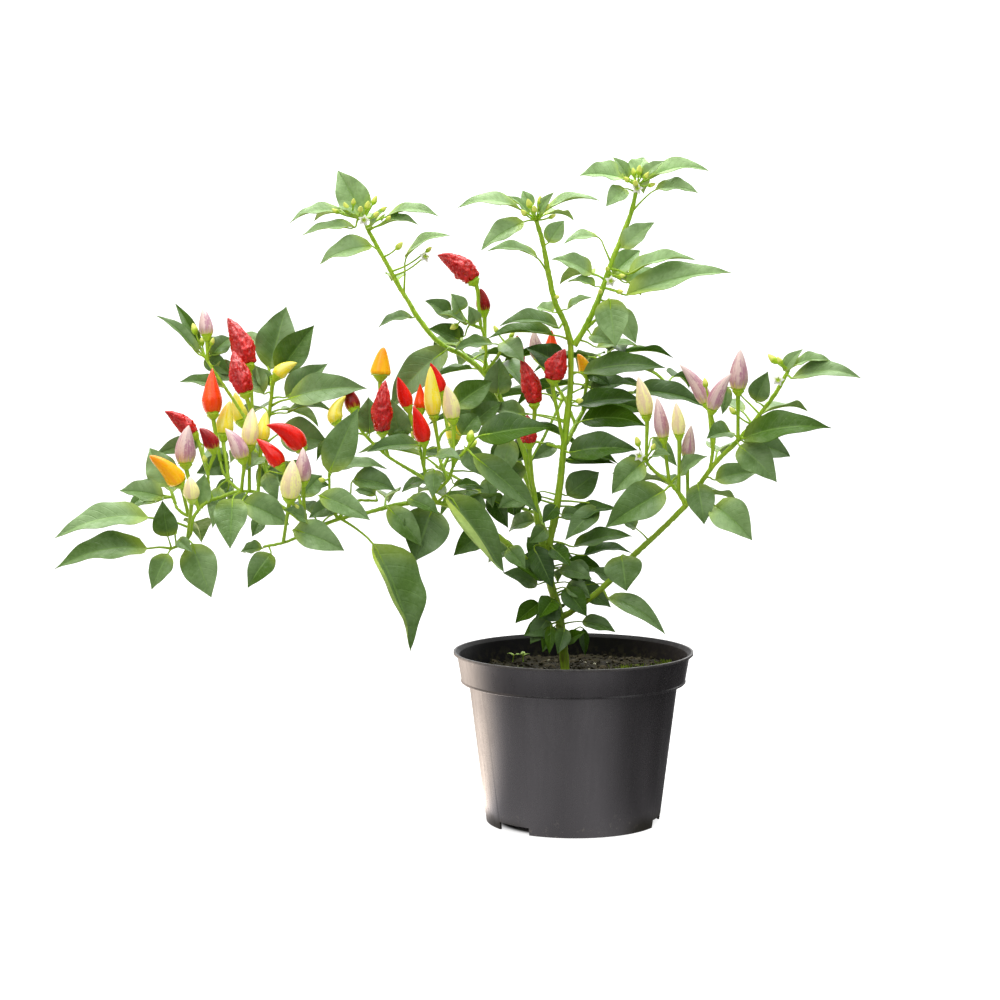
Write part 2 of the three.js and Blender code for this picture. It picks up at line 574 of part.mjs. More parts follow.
// The potting mix fills the pot to the band and has a blind hole round the trunk.
function makeSoil(trunk) {
  const floorTop = POT_FLOOR_Z + POT_FLOOR_T;
  const inner = POT_WALL + GAP;
  const wallAt = (z) => {
    const share = (z - POT_BAND_Z) / (POT_HEIGHT - POT_BAND_Z);
    return POT_BAND_R + share * (POT_BAND_TOP_R - POT_BAND_R) - inner;
  };
  const lean = (POT_BODY_TOP_R - POT_BASE_R) / POT_BAND_Z;
  const rim = wallAt(SOIL_Z) - GAP;
  const shape = turned([
    [0, floorTop + GAP],
    [POT_BASE_R + lean * floorTop - inner, floorTop + GAP],
    [POT_BODY_TOP_R - inner, POT_BAND_Z],
    [wallAt(POT_BAND_Z) - GAP, POT_BAND_Z + POT_WALL + GAP],
    [rim, SOIL_Z],
    [0, SOIL_Z],
  ]);
  const position = shape.attributes.position;
  for (let i = 0; i < position.count; i++) {
    const [x, y, z] = [position.getX(i), position.getY(i), position.getZ(i)];
    const bump = Math.sin(x / 9) * Math.cos(y / 7) + Math.sin((x + 2 * y) / 13);
    if (z > SOIL_Z - 0.1) position.setZ(i, z + SOIL_BUMP * bump);
  }
  return solid(shape).subtract(trunk);
}

// ---------------------------------------------------------------- stems

function spot({ sweep }, x, z, depth) {
  let sweptDepth = depth;
  if (sweep) {
    const [axis, from, atFrom, to, atTo] = sweep;
    const share = ((axis === "x" ? x : z) - from) / (to - from);
    sweptDepth += atFrom + (atTo - atFrom) * share;
  }
  return EYE.clone().lerp(new THREE.Vector3(x, 0, z), 1 - sweptDepth / EYE.y);
}

// A round rod through the points: an upright cylinder bent and tapered to follow them.
function rod(points, radii, sides) {
  const last = points.length - 1;
  const cylinder = new THREE.CylinderGeometry(1, 1, last, sides, last);
  const rings = [];
  let across = new THREE.Vector3(0.31, 0.87, 0.38);
  points.forEach((point, i) => {
    const before = points[Math.max(i - 1, 0)];
    const after = points[Math.min(i + 1, last)];
    const along = after.clone().sub(before).normalize();
    across = across.clone().addScaledVector(along, -across.dot(along)).normalize();
    rings.push({ point, across, other: along.clone().cross(across), radius: radii[i] });
  });
  const position = cylinder.attributes.position;
  for (let i = 0; i < position.count; i++) {
    const ring = rings[Math.round(position.getY(i) + last / 2)];
    const place = ring.point.clone()
      .addScaledVector(ring.across, ring.radius * position.getX(i))
      .addScaledVector(ring.other, ring.radius * position.getZ(i));
    position.setXYZ(i, place.x, place.y, place.z);
  }
  return solid(cylinder);
}

function stemRods(limb, grow = 0) {
  return limb.stems.map(([start, end, ...stations]) => {
    const points = stations.map((station) => spot(limb, ...station));
    const last = points.length - 1;
    const lengthen = (end, inner) => {
      const outward = points[end].clone().sub(points[inner]).normalize();
      points[end].addScaledVector(outward, grow);
    };
    lengthen(0, 1);
    lengthen(last, last - 1);
    const radii = points.map((_, i) => start + ((end - start) * i) / last + grow);
    return rod(points, radii, start > 1.5 ? 6 : 4);
  });
}

// The point on the limb's stems that is nearest to a given point.
function nearestOnStems(limb, target) {
  let best = null;
  for (const stations of limb.stems.map((stem) => stem.slice(2))) {
    for (let i = 1; i < stations.length; i++) {
      const line = new THREE.Line3(spot(limb, ...stations[i - 1]), spot(limb, ...stations[i]));
      const near = line.closestPointToPoint(target, true, new THREE.Vector3());
      if (!best || near.distanceTo(target) < best.distanceTo(target)) best = near;
    }
  }
  return best;
}

// ---------------------------------------------------------------- leaves

const OUTLINE_SMALL = [[0.42, 1.05]];
const OUTLINE_MIDDLE = [[0.3, 0.96], [0.68, 0.68]];
const OUTLINE_BIG = [[0.2, 0.86], [0.46, 1], [0.76, 0.56]];
const RANGE_FINE = 17;
const TURNS = [[0, 0], [9, 0], [-9, 0], [0, 9], [0, -9], [18, 0], [-18, 0], [12, 12],
  [-12, 12], [0, 18], [0, -18], [27, 0], [-27, 0], [20, -14], [-20, -14], [20, 20],
  [-20, 20], [38, 0], [-38, 0], [0, 32], [0, -32], [50, 10], [-50, 10], [35, -25],
  [-35, -25], [65, 0], [-65, 0]];

// A leaf of the list: where its stalk leaves the stem, its blade's ends, width and facing.
function listedLeaf(limb, row) {
  const [bx, bz, bd, tx, tz, td, width, turn, bow, rootX, rootZ] = row;
  const base = spot(limb, bx, bz, bd);
  const tip = spot(limb, tx, tz, td);
  const hint = rootX === undefined ? base : spot(limb, rootX, rootZ, bd);
  const angle = THREE.MathUtils.degToRad(turn);
  const facing = new THREE.Vector3(0, -Math.sin(angle), Math.cos(angle));
  return { root: nearestOnStems(limb, hint), base, tip, width, facing, bow };
}

// The leaves of a fan, spread evenly between two compass angles round a node.
function fanLeaves(limb, [x, z, depth, count, first, last, rise, length]) {
  const root = nearestOnStems(limb, spot(limb, x, z, depth));
  return Array.from({ length: count }, (_, i) => {
    const share = count > 1 ? i / (count - 1) : 0.5;
    const compass = THREE.MathUtils.degToRad(first + (last - first) * share);
    const climb = THREE.MathUtils.degToRad(rise + 12 * Math.sin(5 * i + x));
    const reach = length * (1 + 0.12 * Math.sin(3 * i + z));
    const way = (angle) => new THREE.Vector3(
      Math.cos(compass) * Math.cos(angle), Math.sin(compass) * Math.cos(angle), Math.sin(angle));
    const base = root.clone().addScaledVector(way(climb + 0.25), 0.32 * reach);
    const tip = base.clone().addScaledVector(way(climb - 0.3), reach);
    const facing = new THREE.Vector3(0, 0, 1).addScaledVector(way(0), 0.35);
    return { root, base, tip, width: 0.42 * reach, facing, bow: 0.08 };
  });
}

// The same leaf turned about its root by degrees of compass angle and of rise.
function turned3d(leaf, compass, rise) {
  const move = (point) => {
    const arm = point.clone().sub(leaf.root);
    const flat = Math.hypot(arm.x, arm.y);
    const azimuth = Math.atan2(arm.y, arm.x) + THREE.MathUtils.degToRad(compass);
    const climb = Math.atan2(arm.z, flat) + THREE.MathUtils.degToRad(rise);
    const reach = arm.length();
    return leaf.root.clone().add(new THREE.Vector3(
      reach * Math.cos(climb) * Math.cos(azimuth),
      reach * Math.cos(climb) * Math.sin(azimuth),
      reach * Math.sin(climb)));
  };
  return { ...leaf, base: move(leaf.base), tip: move(leaf.tip) };
}

// A leaf as one closed solid: a flat stalk, then a blade folded along its rib and bowed.
// Upper and lower face have the same triangles, a constant thickness apart.
function leafSolid(leaf, grow = 0, withStalk = true) {
  const chord = leaf.tip.clone().sub(leaf.base);
  const length = chord.length();
  const up = leaf.facing.clone().projectOnPlane(chord.clone().normalize()).normalize();
  const crown = leaf.base.clone().add(leaf.tip).multiplyScalar(0.5)
    .addScaledVector(up, 2 * leaf.bow * length);
  const rib = new THREE.QuadraticBezierCurve3(leaf.base, crown, leaf.tip);
  const rows = [];
  const addRow = (point, along, half, slope, lift, thick, above, below) => {
    const normal = up.clone().projectOnPlane(along).normalize();
    const side = along.clone().cross(normal);
    const edge = (shares, height) => shares.map((share) => point.clone()
      .addScaledVector(side, share * half * Math.cos(slope))
      .addScaledVector(normal, Math.abs(share) * (half * Math.sin(slope) + lift) + height));
    const halfThick = 0.5 * thick + grow;
    rows.push({ upper: edge(above, halfThick), lower: edge(below, -halfThick) });
  };
  const stalkWay = leaf.base.clone().sub(leaf.root).normalize();
  const stalkHalf = PETIOLE_R + grow;
  const stalkEnds = [[leaf.root, stalkWay], [leaf.base, rib.getTangent(0)]];
  for (const [point, along] of stalkEnds.slice(withStalk ? 0 : 1)) {
    addRow(point, along, stalkHalf, 0, 0, 2 * PETIOLE_R, [-1, 1], [0]);
  }
  const longer = length > BIG_LEAF ? OUTLINE_BIG : OUTLINE_MIDDLE;
  const outline = length < SMALL_LEAF ? OUTLINE_SMALL : longer;
  outline.forEach(([t, share], i) => {
    const lift = BLADE_WAVE * leaf.width * (i % 2 ? 1 : -1);
    const half = 0.5 * leaf.width * share + grow;
    const across = [-1, 0, 1];
    addRow(rib.getPoint(t), rib.getTangent(t), half, BLADE_FOLD, lift, BLADE_T, across, across);
  });
  addRow(leaf.tip, rib.getTangent(1), 0, 0, 0, BLADE_T, [0], [0]);
  return solid(closedStrip(rows));
}

// How a face runs from a row of points a to the next row b, by their two counts.
const ZIPS = {
  11: [],
  13: [["a0", "b1", "b0"], ["a0", "b2", "b1"]],
  22: [["a0", "a1", "b1"], ["a0", "b1", "b0"]],
  23: [["a0", "a1", "b1"], ["a0", "b1", "b0"], ["a1", "b2", "b1"]],
  33: [["a0", "a1", "b1"], ["a0", "b1", "b0"], ["a1", "a2", "b1"], ["a2", "b2", "b1"]],
  31: [["a0", "a1", "b0"], ["a1", "a2", "b0"]],
};

// Closes rows of upper and lower points into one skin, from an open end to a sharp tip.
function closedStrip(rows) {
  const corners = [];
  const faces = [];
  const number = (points) => points.map((point) => corners.push(point) - 1);
  const numbered = rows.map(({ upper, lower }) => ({ upper: number(upper), lower: number(lower) }));
  const zip = (a, b) => ZIPS[`${a.length}${b.length}`].map((labels) => labels.map(
    ([row, place]) => (row === "a" ? a : b)[Number(place)]));
  for (let i = 1; i < numbered.length; i++) {
    const [a, b] = [numbered[i - 1], numbered[i]];
    faces.push(...zip(a.upper, b.upper));
    faces.push(...zip(a.lower, b.lower).map((face) => face.reverse()));
    for (const end of [0, -1]) {
      const [p, q] = [a.upper.at(end), b.upper.at(end)];
      const sides = [[p, q, b.lower.at(end)], [p, b.lower.at(end), a.lower.at(end)]];
      faces.push(...(end ? sides.map((face) => face.reverse()) : sides));
    }
  }
  const { upper: [left, right], lower: [keel] } = numbered[0];
  faces.push([right, left, keel]);
  const geometry = new THREE.BufferGeometry().setFromPoints(corners);
  geometry.setIndex(faces.flat());
  return geometry;
}

// ---------------------------------------------------------------- fruits, buds, flowers

const FRUIT_PROFILE = [[0, 0], [0.62, 0], [1, 0.3], [0.62, 0.8], [0, 1]];

function fruitLine(limb, row) {
  const [bx, bz, bd, tx, tz, td, width, kind, rootX, rootZ] = row;
  const base = spot(limb, bx, bz, bd);
  const tip = spot(limb, tx, tz, td);
  const root = nearestOnStems(limb, spot(limb, rootX, rootZ, bd));
  const rising = base.clone().sub(root).normalize();
  const way = tip.clone().sub(base).normalize().add(rising).normalize();
  return { root, base, tip, way, width, kind };
}

// A turned pod, bent along the curve from its base, where it follows its stalk, to its tip.
function fruitSolid({ base, tip, way, width }) {
  const bend = base.clone().addScaledVector(way, 0.5 * base.distanceTo(tip));
  const curve = new THREE.QuadraticBezierCurve3(base, bend, tip);
  const profile = FRUIT_PROFILE.map(([r, t]) => new THREE.Vector2(r, t));
  const pod = new THREE.LatheGeometry(profile, 6);
  const position = pod.attributes.position;
  for (let i = 0; i < position.count; i++) {
    const along = curve.getTangent(position.getY(i));
    const across = new THREE.Vector3(0, 1, 0).projectOnPlane(along).normalize();
    const place = curve.getPoint(position.getY(i))
      .addScaledVector(across, 0.5 * width * position.getX(i))
      .addScaledVector(across.cross(along), 0.5 * width * position.getZ(i));
    position.setXYZ(i, place.x, place.y, place.z);
  }
  return solid(pod);
}

// The stalk that carries a fruit, ending in the flat face of its cup-shaped calyx.
function stalkSolid({ root, base, way, width }) {
  const top = base.clone().addScaledVector(way, -GAP);
  const foot = top.clone().addScaledVector(way, -CALYX_H);
  return rod([root, foot, top], [STALK_R, STALK_R + 0.3, CALYX_SHARE * width], 4);
}

// A bud on its stalk: one spindle, thin as far as the bud.
function budSolid(limb, [x, z, depth, size]) {
  const middle = spot(limb, x, z, depth);
  const root = nearestOnStems(limb, middle);
  const way = middle.clone().sub(root).normalize();
  const length = root.distanceTo(middle) + 0.6 * size;
  const spindle = [[0, 0], [BUD_STALK_R, 0], [0.5 * size, length - 0.7 * size], [0, length]];
  const profile = spindle.map(([r, t]) => new THREE.Vector2(r, t));
  const turn = new THREE.Quaternion().setFromUnitVectors(new THREE.Vector3(0, 1, 0), way);
  const bud = new THREE.LatheGeometry(profile, 4);
  return solid(bud.applyQuaternion(turn).translate(root.x, root.y, root.z));
}

// A star of five petals on a thin stalk.
function flowerSolid(limb, station) {
  const middle = spot(limb, ...station);
  const root = nearestOnStems(limb, middle);
  const star = new THREE.Shape(Array.from({ length: 10 }, (_, i) => {
    const radius = i % 2 ? FLOWER_NOTCH_R : FLOWER_R;
    const angle = (i * Math.PI) / 5;
    return new THREE.Vector2(radius * Math.cos(angle), radius * Math.sin(angle));
  }));
  const petals = new THREE.ExtrudeGeometry(star, { depth: PETAL_T, bevelEnabled: false });
  const way = middle.clone().sub(root).normalize().add(new THREE.Vector3(0, -1, 0.2)).normalize();
  const turn = new THREE.Quaternion().setFromUnitVectors(new THREE.Vector3(0, 0, 1), way);
  petals.applyQuaternion(turn).translate(middle.x, middle.y, middle.z);
  const top = middle.clone().addScaledVector(way, 0.5 * PETAL_T);
  return solid(petals).add(rod([root, top], [BUD_STALK_R, BUD_STALK_R], 3));
}

// ---------------------------------------------------------------- assembly

const pot = makePot();
const { main_stem: mainStem } = LIMBS;
const trunk = mainStem.stems[0].slice(2, 5).map((station) => spot(mainStem, ...station));
trunk[0].z -= GAP;
const soil = makeSoil(rod(trunk, trunk.map(() => mainStem.stems[0][0] + GAP), 6));

const others = [{ limb: "pot", body: pot }, { limb: "soil", body: soil }];
const woods = {};
const earlierStems = [];
const fruits = [];

// First every stem, fruit stalk, bud, flower and fruit, which stay where they are listed.
for (const [name, limb] of Object.entries(LIMBS)) {
  const lines = (limb.fruits ?? []).map((row) => fruitLine(limb, row));
  lines.forEach((line, i) => {
    const node = `${name}_${line.kind}_fruit_${i + 1}`;
    fruits.push({ name: node, kind: line.kind, body: fruitSolid(line) });
  });
  let wood = join([
    ...stemRods(limb),
    ...lines.map(stalkSolid),
    ...(limb.buds ?? []).map((bud) => budSolid(limb, bud)),
    ...(limb.flowers ?? []).map((flower) => flowerSolid(limb, flower)),
  ]);
  if (Object.keys(woods).length) wood = largestBody(wood.subtract(join(earlierStems)));
  earlierStems.push(...stemRods(limb, GAP));
  woods[name] = wood;
  others.push({ limb: name, body: wood });
}
for (const fruit of fruits) others.push({ limb: fruit.name, body: fruit.body });

// Then the leaves: each is turned a little about its root until it is clear of all else.
const foliage = Object.fromEntries(Object.keys(LIMBS).map((name) => [name, []]));

function isClear(name, leaf, careful) {
  const blade = leafSolid(leaf, GAP);
  const foreign = others.filter((other) => other.limb !== name);
  if (foreign.some((other) => overlap(blade, other.body))) return false;
  if (!careful) return true;
  const bare = leafSolid(leaf, 0, false);
  return ![woods[name], ...foliage[name]].some((own) => overlap(bare, own));
}

function placeLeaf(name, leaf) {
  for (const [turns, careful] of [[TURNS.slice(0, RANGE_FINE), true], [TURNS, false]]) {
    for (const [compass, rise] of turns) {
      const candidate = turned3d(leaf, compass, rise);
      if (isClear(name, candidate, careful)) {
        foliage[name].push(leafSolid(candidate));
        others.push({ limb: name, body: foliage[name].at(-1) });
        return;
      }
    }
  }
}

for (const [name, limb] of Object.entries(LIMBS)) {
  for (const row of limb.leaves) placeLeaf(name, listedLeaf(limb, row));
}
for (const [name, limb] of Object.entries(LIMBS)) {
  for (const fan of limb.fans) {
    for (const leaf of fanLeaves(limb, fan)) placeLeaf(name, leaf);
  }
}

addMesh("pot", pot, "pot");
addMesh("soil", soil, "soil");
for (const name of Object.keys(LIMBS)) {
  addMesh(name, join([woods[name], ...foliage[name]]), name === "main_stem" ? "stem" : "leaf");
}
for (const { name, kind, body } of fruits) addMesh(name, body, kind);

export default part;
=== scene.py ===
"""A potted chilli pepper plant, dressed round its packed model.

Metres, +Z up, the plant's front to -Y. The stations of the plant are in millimetres, as its
solids' are, and spot() turns them into places in the frame.
"""

import math
import random
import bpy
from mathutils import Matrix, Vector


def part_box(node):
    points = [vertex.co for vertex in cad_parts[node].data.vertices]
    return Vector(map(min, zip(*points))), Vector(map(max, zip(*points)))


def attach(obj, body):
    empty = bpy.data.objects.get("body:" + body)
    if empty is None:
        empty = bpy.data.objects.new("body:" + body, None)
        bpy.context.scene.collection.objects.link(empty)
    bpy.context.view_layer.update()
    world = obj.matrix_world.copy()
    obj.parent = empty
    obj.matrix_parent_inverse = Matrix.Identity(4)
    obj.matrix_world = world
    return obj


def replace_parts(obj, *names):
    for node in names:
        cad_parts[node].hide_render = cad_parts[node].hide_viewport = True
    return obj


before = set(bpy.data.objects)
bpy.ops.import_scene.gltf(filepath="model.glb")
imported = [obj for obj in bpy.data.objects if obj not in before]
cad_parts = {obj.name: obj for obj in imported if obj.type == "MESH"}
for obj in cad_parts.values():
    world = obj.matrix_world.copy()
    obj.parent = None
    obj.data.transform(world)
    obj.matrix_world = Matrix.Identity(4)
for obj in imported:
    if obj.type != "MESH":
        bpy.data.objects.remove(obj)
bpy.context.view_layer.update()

from types import SimpleNamespace

import bpy
from mathutils import Vector, noise
from mathutils.geometry import intersect_point_line
from mathutils.kdtree import KDTree

bl_info = {
    "name": "Potted Pepper",
    "version": (1, 0, 0),
    "blender": (4, 5, 0),
    "location": "View3D > Sidebar > Pepper",
    "description": "Dresses the packed solids of a potted chilli pepper plant",
    "category": "Add Mesh",
}

# ---------------------------------------------------------------- the plant's stations
#
# sweep:  how the whole limb reaches back or forward: an extra depth at each of two x or z
# stems:  start radius, end radius, then stations [x, z, depth]
# leaves: blade base x, z, depth, tip x, z, depth, width, turn, bow, and sometimes the x, z
#         on the stem that the leaf stalk leaves from. Turn 0 faces the blade up, 90 forward.
# fans:   x, z, depth of a node, number of leaves, first and last compass angle, rise, length
# fruits: base x, z, depth, tip x, z, depth, width, kind, and the x, z its stalk leaves from
# buds:   x, z, depth of the bud's middle and its diameter
# flowers: x, z, depth of the middle
# The rows called more_ are small leaves, buds and flowers that the solids leave out.

LIMBS = {
    "main_stem": {
        "stems": [
            [3, 1.7, [-4, 66, 0], [-5, 92, 0], [-7, 110, -1], [-9, 125, -1], [-13, 138, 0],
             [-15, 150, 0], [-14, 163, 0], [-11, 178, 0], [-8, 198, 1], [-6, 218, 1], [-4, 236, 1],
             [-2, 256, 0], [-2, 280, 0]],
        ],
        "leaves": [
            [-14, 115, -6, -29, 109, -12, 13, 60, 0.06], [-20, 128, -2, -34, 116, -6, 12, 60, 0.06],
            [-21, 139, -2, -41, 146, -8, 14, 55, 0.06], [-12, 130, -9, -20, 119, -20, 13, 65, 0.06],
            [-17, 142, -8, -36, 152, -16, 12, 50, 0.06], [-4, 105, -6, 7, 111, -12, 9, 55, 0.06],
            [-5, 137, -8, 8, 120, -16, 14, 75, 0.03], [2, 137, -2, 22, 124, -8, 14, 60, 0.06],
            [-4, 151, 7, 17, 147, 16, 12, 50, 0.06], [5, 117, 0, 25, 111, -4, 11, 50, 0.09],
            [0, 161, -4, 34, 168, -12, 15, 30, 0.06], [-3, 177, -3, 25, 184, -12, 15, 40, 0.06],
            [-4, 191, 6, 15, 205, 14, 18, 75, 0.03], [-3, 216, -5, 37, 218, -15, 20, 55, 0.07],
            [5, 262, -5, 53, 266, -14, 18, 40, 0.07], [-6, 266, 4, -28, 277, 6, 18, 60, 0.05],
            [2, 243, 3, 40, 247, 8, 16, 35, 0.06], [-12, 160, -10, -2, 150, -24, 12, 60, 0.06],
        ],
        "fans": [[-9, 124, 1, 1, 90, 90, 0, 26], [-14, 143, 2, 1, 80, 80, 10, 28]],
        "fruits": [[-12, 258, -8, -5, 276, -10, 13, "wrinkled", -8, 219]],
        "more_leaves": [
            [-43, 223, 18, -41, 201, 12, 13, 85, 0.03], [-48, 192, 14, -38, 172, 4, 13, 80, 0.04],
            [-29, 191, 10, -35, 180, 6, 8, 70, 0.05], [-10, 185, -4, -18, 175, -10, 10, 75, 0.05],
            [-7, 180, -6, 5, 179, -12, 9, 60, 0.07], [11, 182, 10, -1, 184, 4, 8, 60, 0.06],
            [14, 184, -8, -5, 165, -18, 14, 65, 0.06], [-16, 172, -6, -26, 163, -12, 11, 75, 0.06],
            [-23, 161, -8, -12, 137, -14, 15, 80, 0.03], [-6, 149, -2, 11, 140, -8, 11, 70, 0.06],
            [-11, 155, 4, 0, 155, 0, 6, 40, 0.08], [-3, 140, -6, 10, 131, -12, 12, 80, 0.04],
            [-5, 211, 14, 24, 210, 8, 8, 55, 0.07], [-10, 220, 8, -24, 212, 2, 9, 60, 0.06],
            [-29, 222, 12, -34, 211, 8, 8, 75, 0.04], [-20, 193, 6, -26, 182, 2, 7, 70, 0.04],
            [-20, 154, 4, -32, 154, 0, 7, 50, 0.06], [-29, 238, 16, -45, 233, 12, 9, 70, 0.05],
            [-47, 239, 16, -51, 227, 12, 9, 75, 0.04], [-1, 152, -4, 10, 141, -10, 11, 75, 0.05],
            [22, 142, 2, 10, 148, -4, 9, 65, 0.06], [-5, 161, 2, -15, 154, -4, 9, 70, 0.05],
            [8, 262, 20, 21, 255, 14, 9, 60, 0.06], [3, 245, 24, 27, 240, 18, 10, 60, 0.06],
            [-15, 119, -6, -25, 104, -12, 14, 80, 0.03], [-8, 126, -8, -22, 120, -14, 15, 75, 0.04],
            [-13, 115, -10, -14, 98, -16, 7, 85, 0.02], [6, 113, 14, 7, 97, 10, 6, 85, 0.02],
            [-5, 113, -9, -9, 98, -16, 10, 80, 0.05], [-11, 114, -7, -18, 99, -14, 10, 70, 0.05],
            [-8, 148, -5, 11, 142, -13, 12, 50, 0.1], [6, 156, 6, 34, 158, 14, 12, 25, 0.1],
            [-2, 212, 6, 26, 210, 12, 13, 40, 0.12], [-17, 152, 6, -27, 167, 14, 13, 60, 0.1],
        ],
        "more_buds": [[3, 246, -6, 4]],
    },
    "top_left": {
        "sweep": ["x", -15, 0, -118, 32],
        "stems": [
            [1.9, 1.3, [-15, 152, 0], [-20, 170, -4], [-24, 196, -4], [-30, 220, 2], [-40, 242, 6],
             [-52, 262, 10], [-64, 272, 10], [-77, 279, 8], [-90, 294, 7], [-96, 304, 6],
             [-101, 312, 6], [-108, 325, 5], [-118, 343, 4]],
            [1, 0.9, [-52, 262, 10], [-51, 278, 8], [-54, 290, 7]],
            [1, 0.8, [-52, 262, 10], [-44, 272, 4], [-40, 280, 0]],
            [1, 0.8, [-54, 288, 7], [-62, 292, 4], [-66, 298, 0]],
            [1, 0.8, [-118, 343, 4], [-122, 350, 2], [-128, 352, 0]],
        ],
        "leaves": [
            [-121, 351, 4, -138, 379, 0, 20, 75, 0.04], [-133, 354, 2, -164, 349, -6, 13, 32, 0.13],
            [-126, 346, 0, -157, 342, -12, 13, 25, 0.06],
            [-108, 352, 3, -78, 353, -5, 12, 28, 0.11],
            [-112, 347, -1, -93, 348, -10, 10, 30, 0.12],
            [-116, 335, 1, -147, 325, -8, 17, 50, 0.12, -101, 309],
            [-97, 328, 4, -72, 342, -3, 12, 30, 0.12, -98, 308],
            [-93, 294, 4, -113, 289, -6, 10, 30, 0.12], [-63, 289, 0, -81, 292, -12, 12, 35, 0.06],
            [-66, 281, 1, -84, 288, -8, 13, 50, 0.06], [-47, 279, -3, -69, 276, -16, 13, 28, 0.07],
            [-41, 280, -4, -29, 269, -14, 15, 55, 0.06], [-66, 277, 14, -82, 282, 28, 16, 20, 0.06],
            [-73, 276, 0, -107, 241, -14, 21, 55, 0.13], [-44, 250, 2, -43, 271, -2, 17, 80, 0.03],
            [-28, 237, 0, -50, 241, -6, 15, 40, 0.07], [-36, 224, 0, -44, 199, -6, 15, 75, 0.02],
            [-27, 207, 4, -47, 195, 12, 16, 60, 0.03], [-24, 192, -6, -44, 184, -12, 15, 55, 0.06],
        ],
        "fans": [
            [-118, 343, 5, 1, 80, 80, 10, 30], [-100, 311, 7, 1, 100, 100, 10, 30],
            [-60, 268, 11, 2, 50, 120, 5, 34],
        ],
        "fruits": [
            [-58, 315, 4, -79, 330, 0, 13, "wrinkled", -54, 290],
            [-52, 297, 14, -54, 311, 13, 8.5, "dark", -51, 276],
            [-23, 244, -6, -31, 271, -9, 11, "wrinkled", -26, 207],
            [-26, 221, -12, -27, 238, -12, 10, "wrinkled", -23, 184],
        ],
        "buds": [
            [-131, 357, -4, 4.5], [-119, 358, -6, 4.5], [-101, 335, 0, 4.5], [-69, 289, -4, 4.5],
        ],
        "flowers": [[-86, 329, 0]],
        "more_leaves": [
            [-64, 283, 6, -75, 291, 2, 7, 60, 0.05], [-57, 291, 2, -61, 301, -5, 9, 65, 0.1],
            [-22, 176, 2, -38, 170, 10, 14, 50, 0.1], [-66, 298, -2, -71, 308, -10, 12, 65, 0.1],
            [-72, 294, 0, -86, 304, -8, 12, 50, 0.1], [-130, 353, 8, -150, 350, 20, 12, 15, 0.1],
            [-117, 346, -2, -107, 358, -6, 6, 50, 0.1], [-124, 352, -3, -138, 357, -8, 6, 30, 0.1],
        ],
        "more_buds": [
            [-127, 360, -8, 3.6], [-123, 356, -12, 4], [-115, 361, 0, 4.2], [-110, 356, -6, 3.6],
            [-137, 355, -4, 3.4], [-107, 351, -8, 3.2], [-114, 353, -10, 4], [-84, 333, 3, 3.4],
            [-45, 287, -2, 3.6], [-36, 284, 2, 3.4],
        ],
        "more_flowers": [[-121, 350, -10]],
    },
    "top_centre": {
        "sweep": ["z", 279, 0, 350, -24],
        "stems": [
            [1.8, 1.3, [-2, 279, 0], [-5, 290, 0], [-11, 303, -1], [-15, 320, -2], [-18, 336, -3],
             [-22, 350, -4]],
        ],
        "leaves": [
            [-31, 356, -5, -67, 358, -14, 14, 28, 0.12], [-25, 357, 2, -30, 367, 8, 8, 60, 0.06],
            [-17, 355, -3, 14, 362, -9, 12, 28, 0.12], [-29, 349, -8, -54, 333, -18, 15, 50, 0.07],
            [-21, 328, -3, -50, 333, -12, 12, 28, 0.12, -15, 318],
            [-15, 337, 2, -6, 350, 8, 12, 60, 0.06], [-4, 299, -2, 10, 306, -8, 9, 40, 0.06],
            [-12, 297, 6, -22, 300, 16, 10, 35, 0.06], [-9, 288, -5, -43, 290, -16, 15, 35, 0.13],
            [-12, 284, 3, -50, 283, -3, 14, 30, 0.08, -3, 282],
        ],
        "fans": [[-22, 350, -2, 2, 50, 120, 12, 30]],
        "buds": [[-26, 359, -10, 4.5]],
        "more_leaves": [
            [-20, 354, -4, -12, 366, -10, 7, 60, 0.1], [-26, 353, 0, -38, 364, -4, 7, 50, 0.1],
        ],
        "more_buds": [
            [-20, 361, -6, 3.6], [-16, 357, -8, 3.4], [-29, 354, -12, 3.8], [-23, 356, -13, 4],
            [-13, 352, -5, 3.2], [-10, 306, -5, 3.2],
        ],
    },
    "top_right": {
        "sweep": ["z", 278, 0, 370, 16],
        "stems": [
            [1.8, 1.3, [0, 278, 0], [5, 286, -2], [12, 300, -4], [17, 313, -5], [21, 325, -5],
             [28, 342, -4], [33, 356, -3], [36, 370, -3]],
            [1, 0.8, [5, 286, -2], [13, 293, -6], [18, 296, -8]],
        ],
        "leaves": [
            [29, 373, -5, 3, 376, -14, 17, 40, 0.07], [34, 374, 2, 40, 386, 8, 14, 70, 0.06],
            [42, 373, -4, 77, 379, -12, 14, 30, 0.12],
            [46, 367, -6, 71, 366, -18, 14, 35, 0.09, 34, 354],
            [29, 368, -7, 18, 358, -16, 12, 55, 0.06], [27, 334, -5, 46, 349, -8, 14, 60, 0.05],
            [14, 340, -6, -6, 337, -14, 11, 30, 0.09, 20, 326],
            [10, 319, -8, -13, 328, -14, 15, 50, 0.11], [12, 312, 2, -4, 315, 10, 10, 25, 0.09],
            [22, 319, 2, 38, 333, 8, 14, 58, 0.06], [31, 319, -7, 70, 328, -14, 14, 32, 0.11],
            [30, 314, 2, 51, 320, 10, 12, 30, 0.06], [29, 307, -11, 90, 321, -22, 22, 45, 0.06],
            [20, 305, -13, 24, 277, -19, 20, 88, 0], [24, 300, 4, 36, 279, 10, 13, 55, 0.06],
            [13, 277, 4, 38, 278, 10, 12, 30, 0.06, 2, 282],
        ],
        "fans": [[35, 368, -2, 1, 80, 80, 12, 28], [18, 315, -3, 2, 60, 130, 8, 34]],
        "buds": [[37, 378, -9, 4.5]],
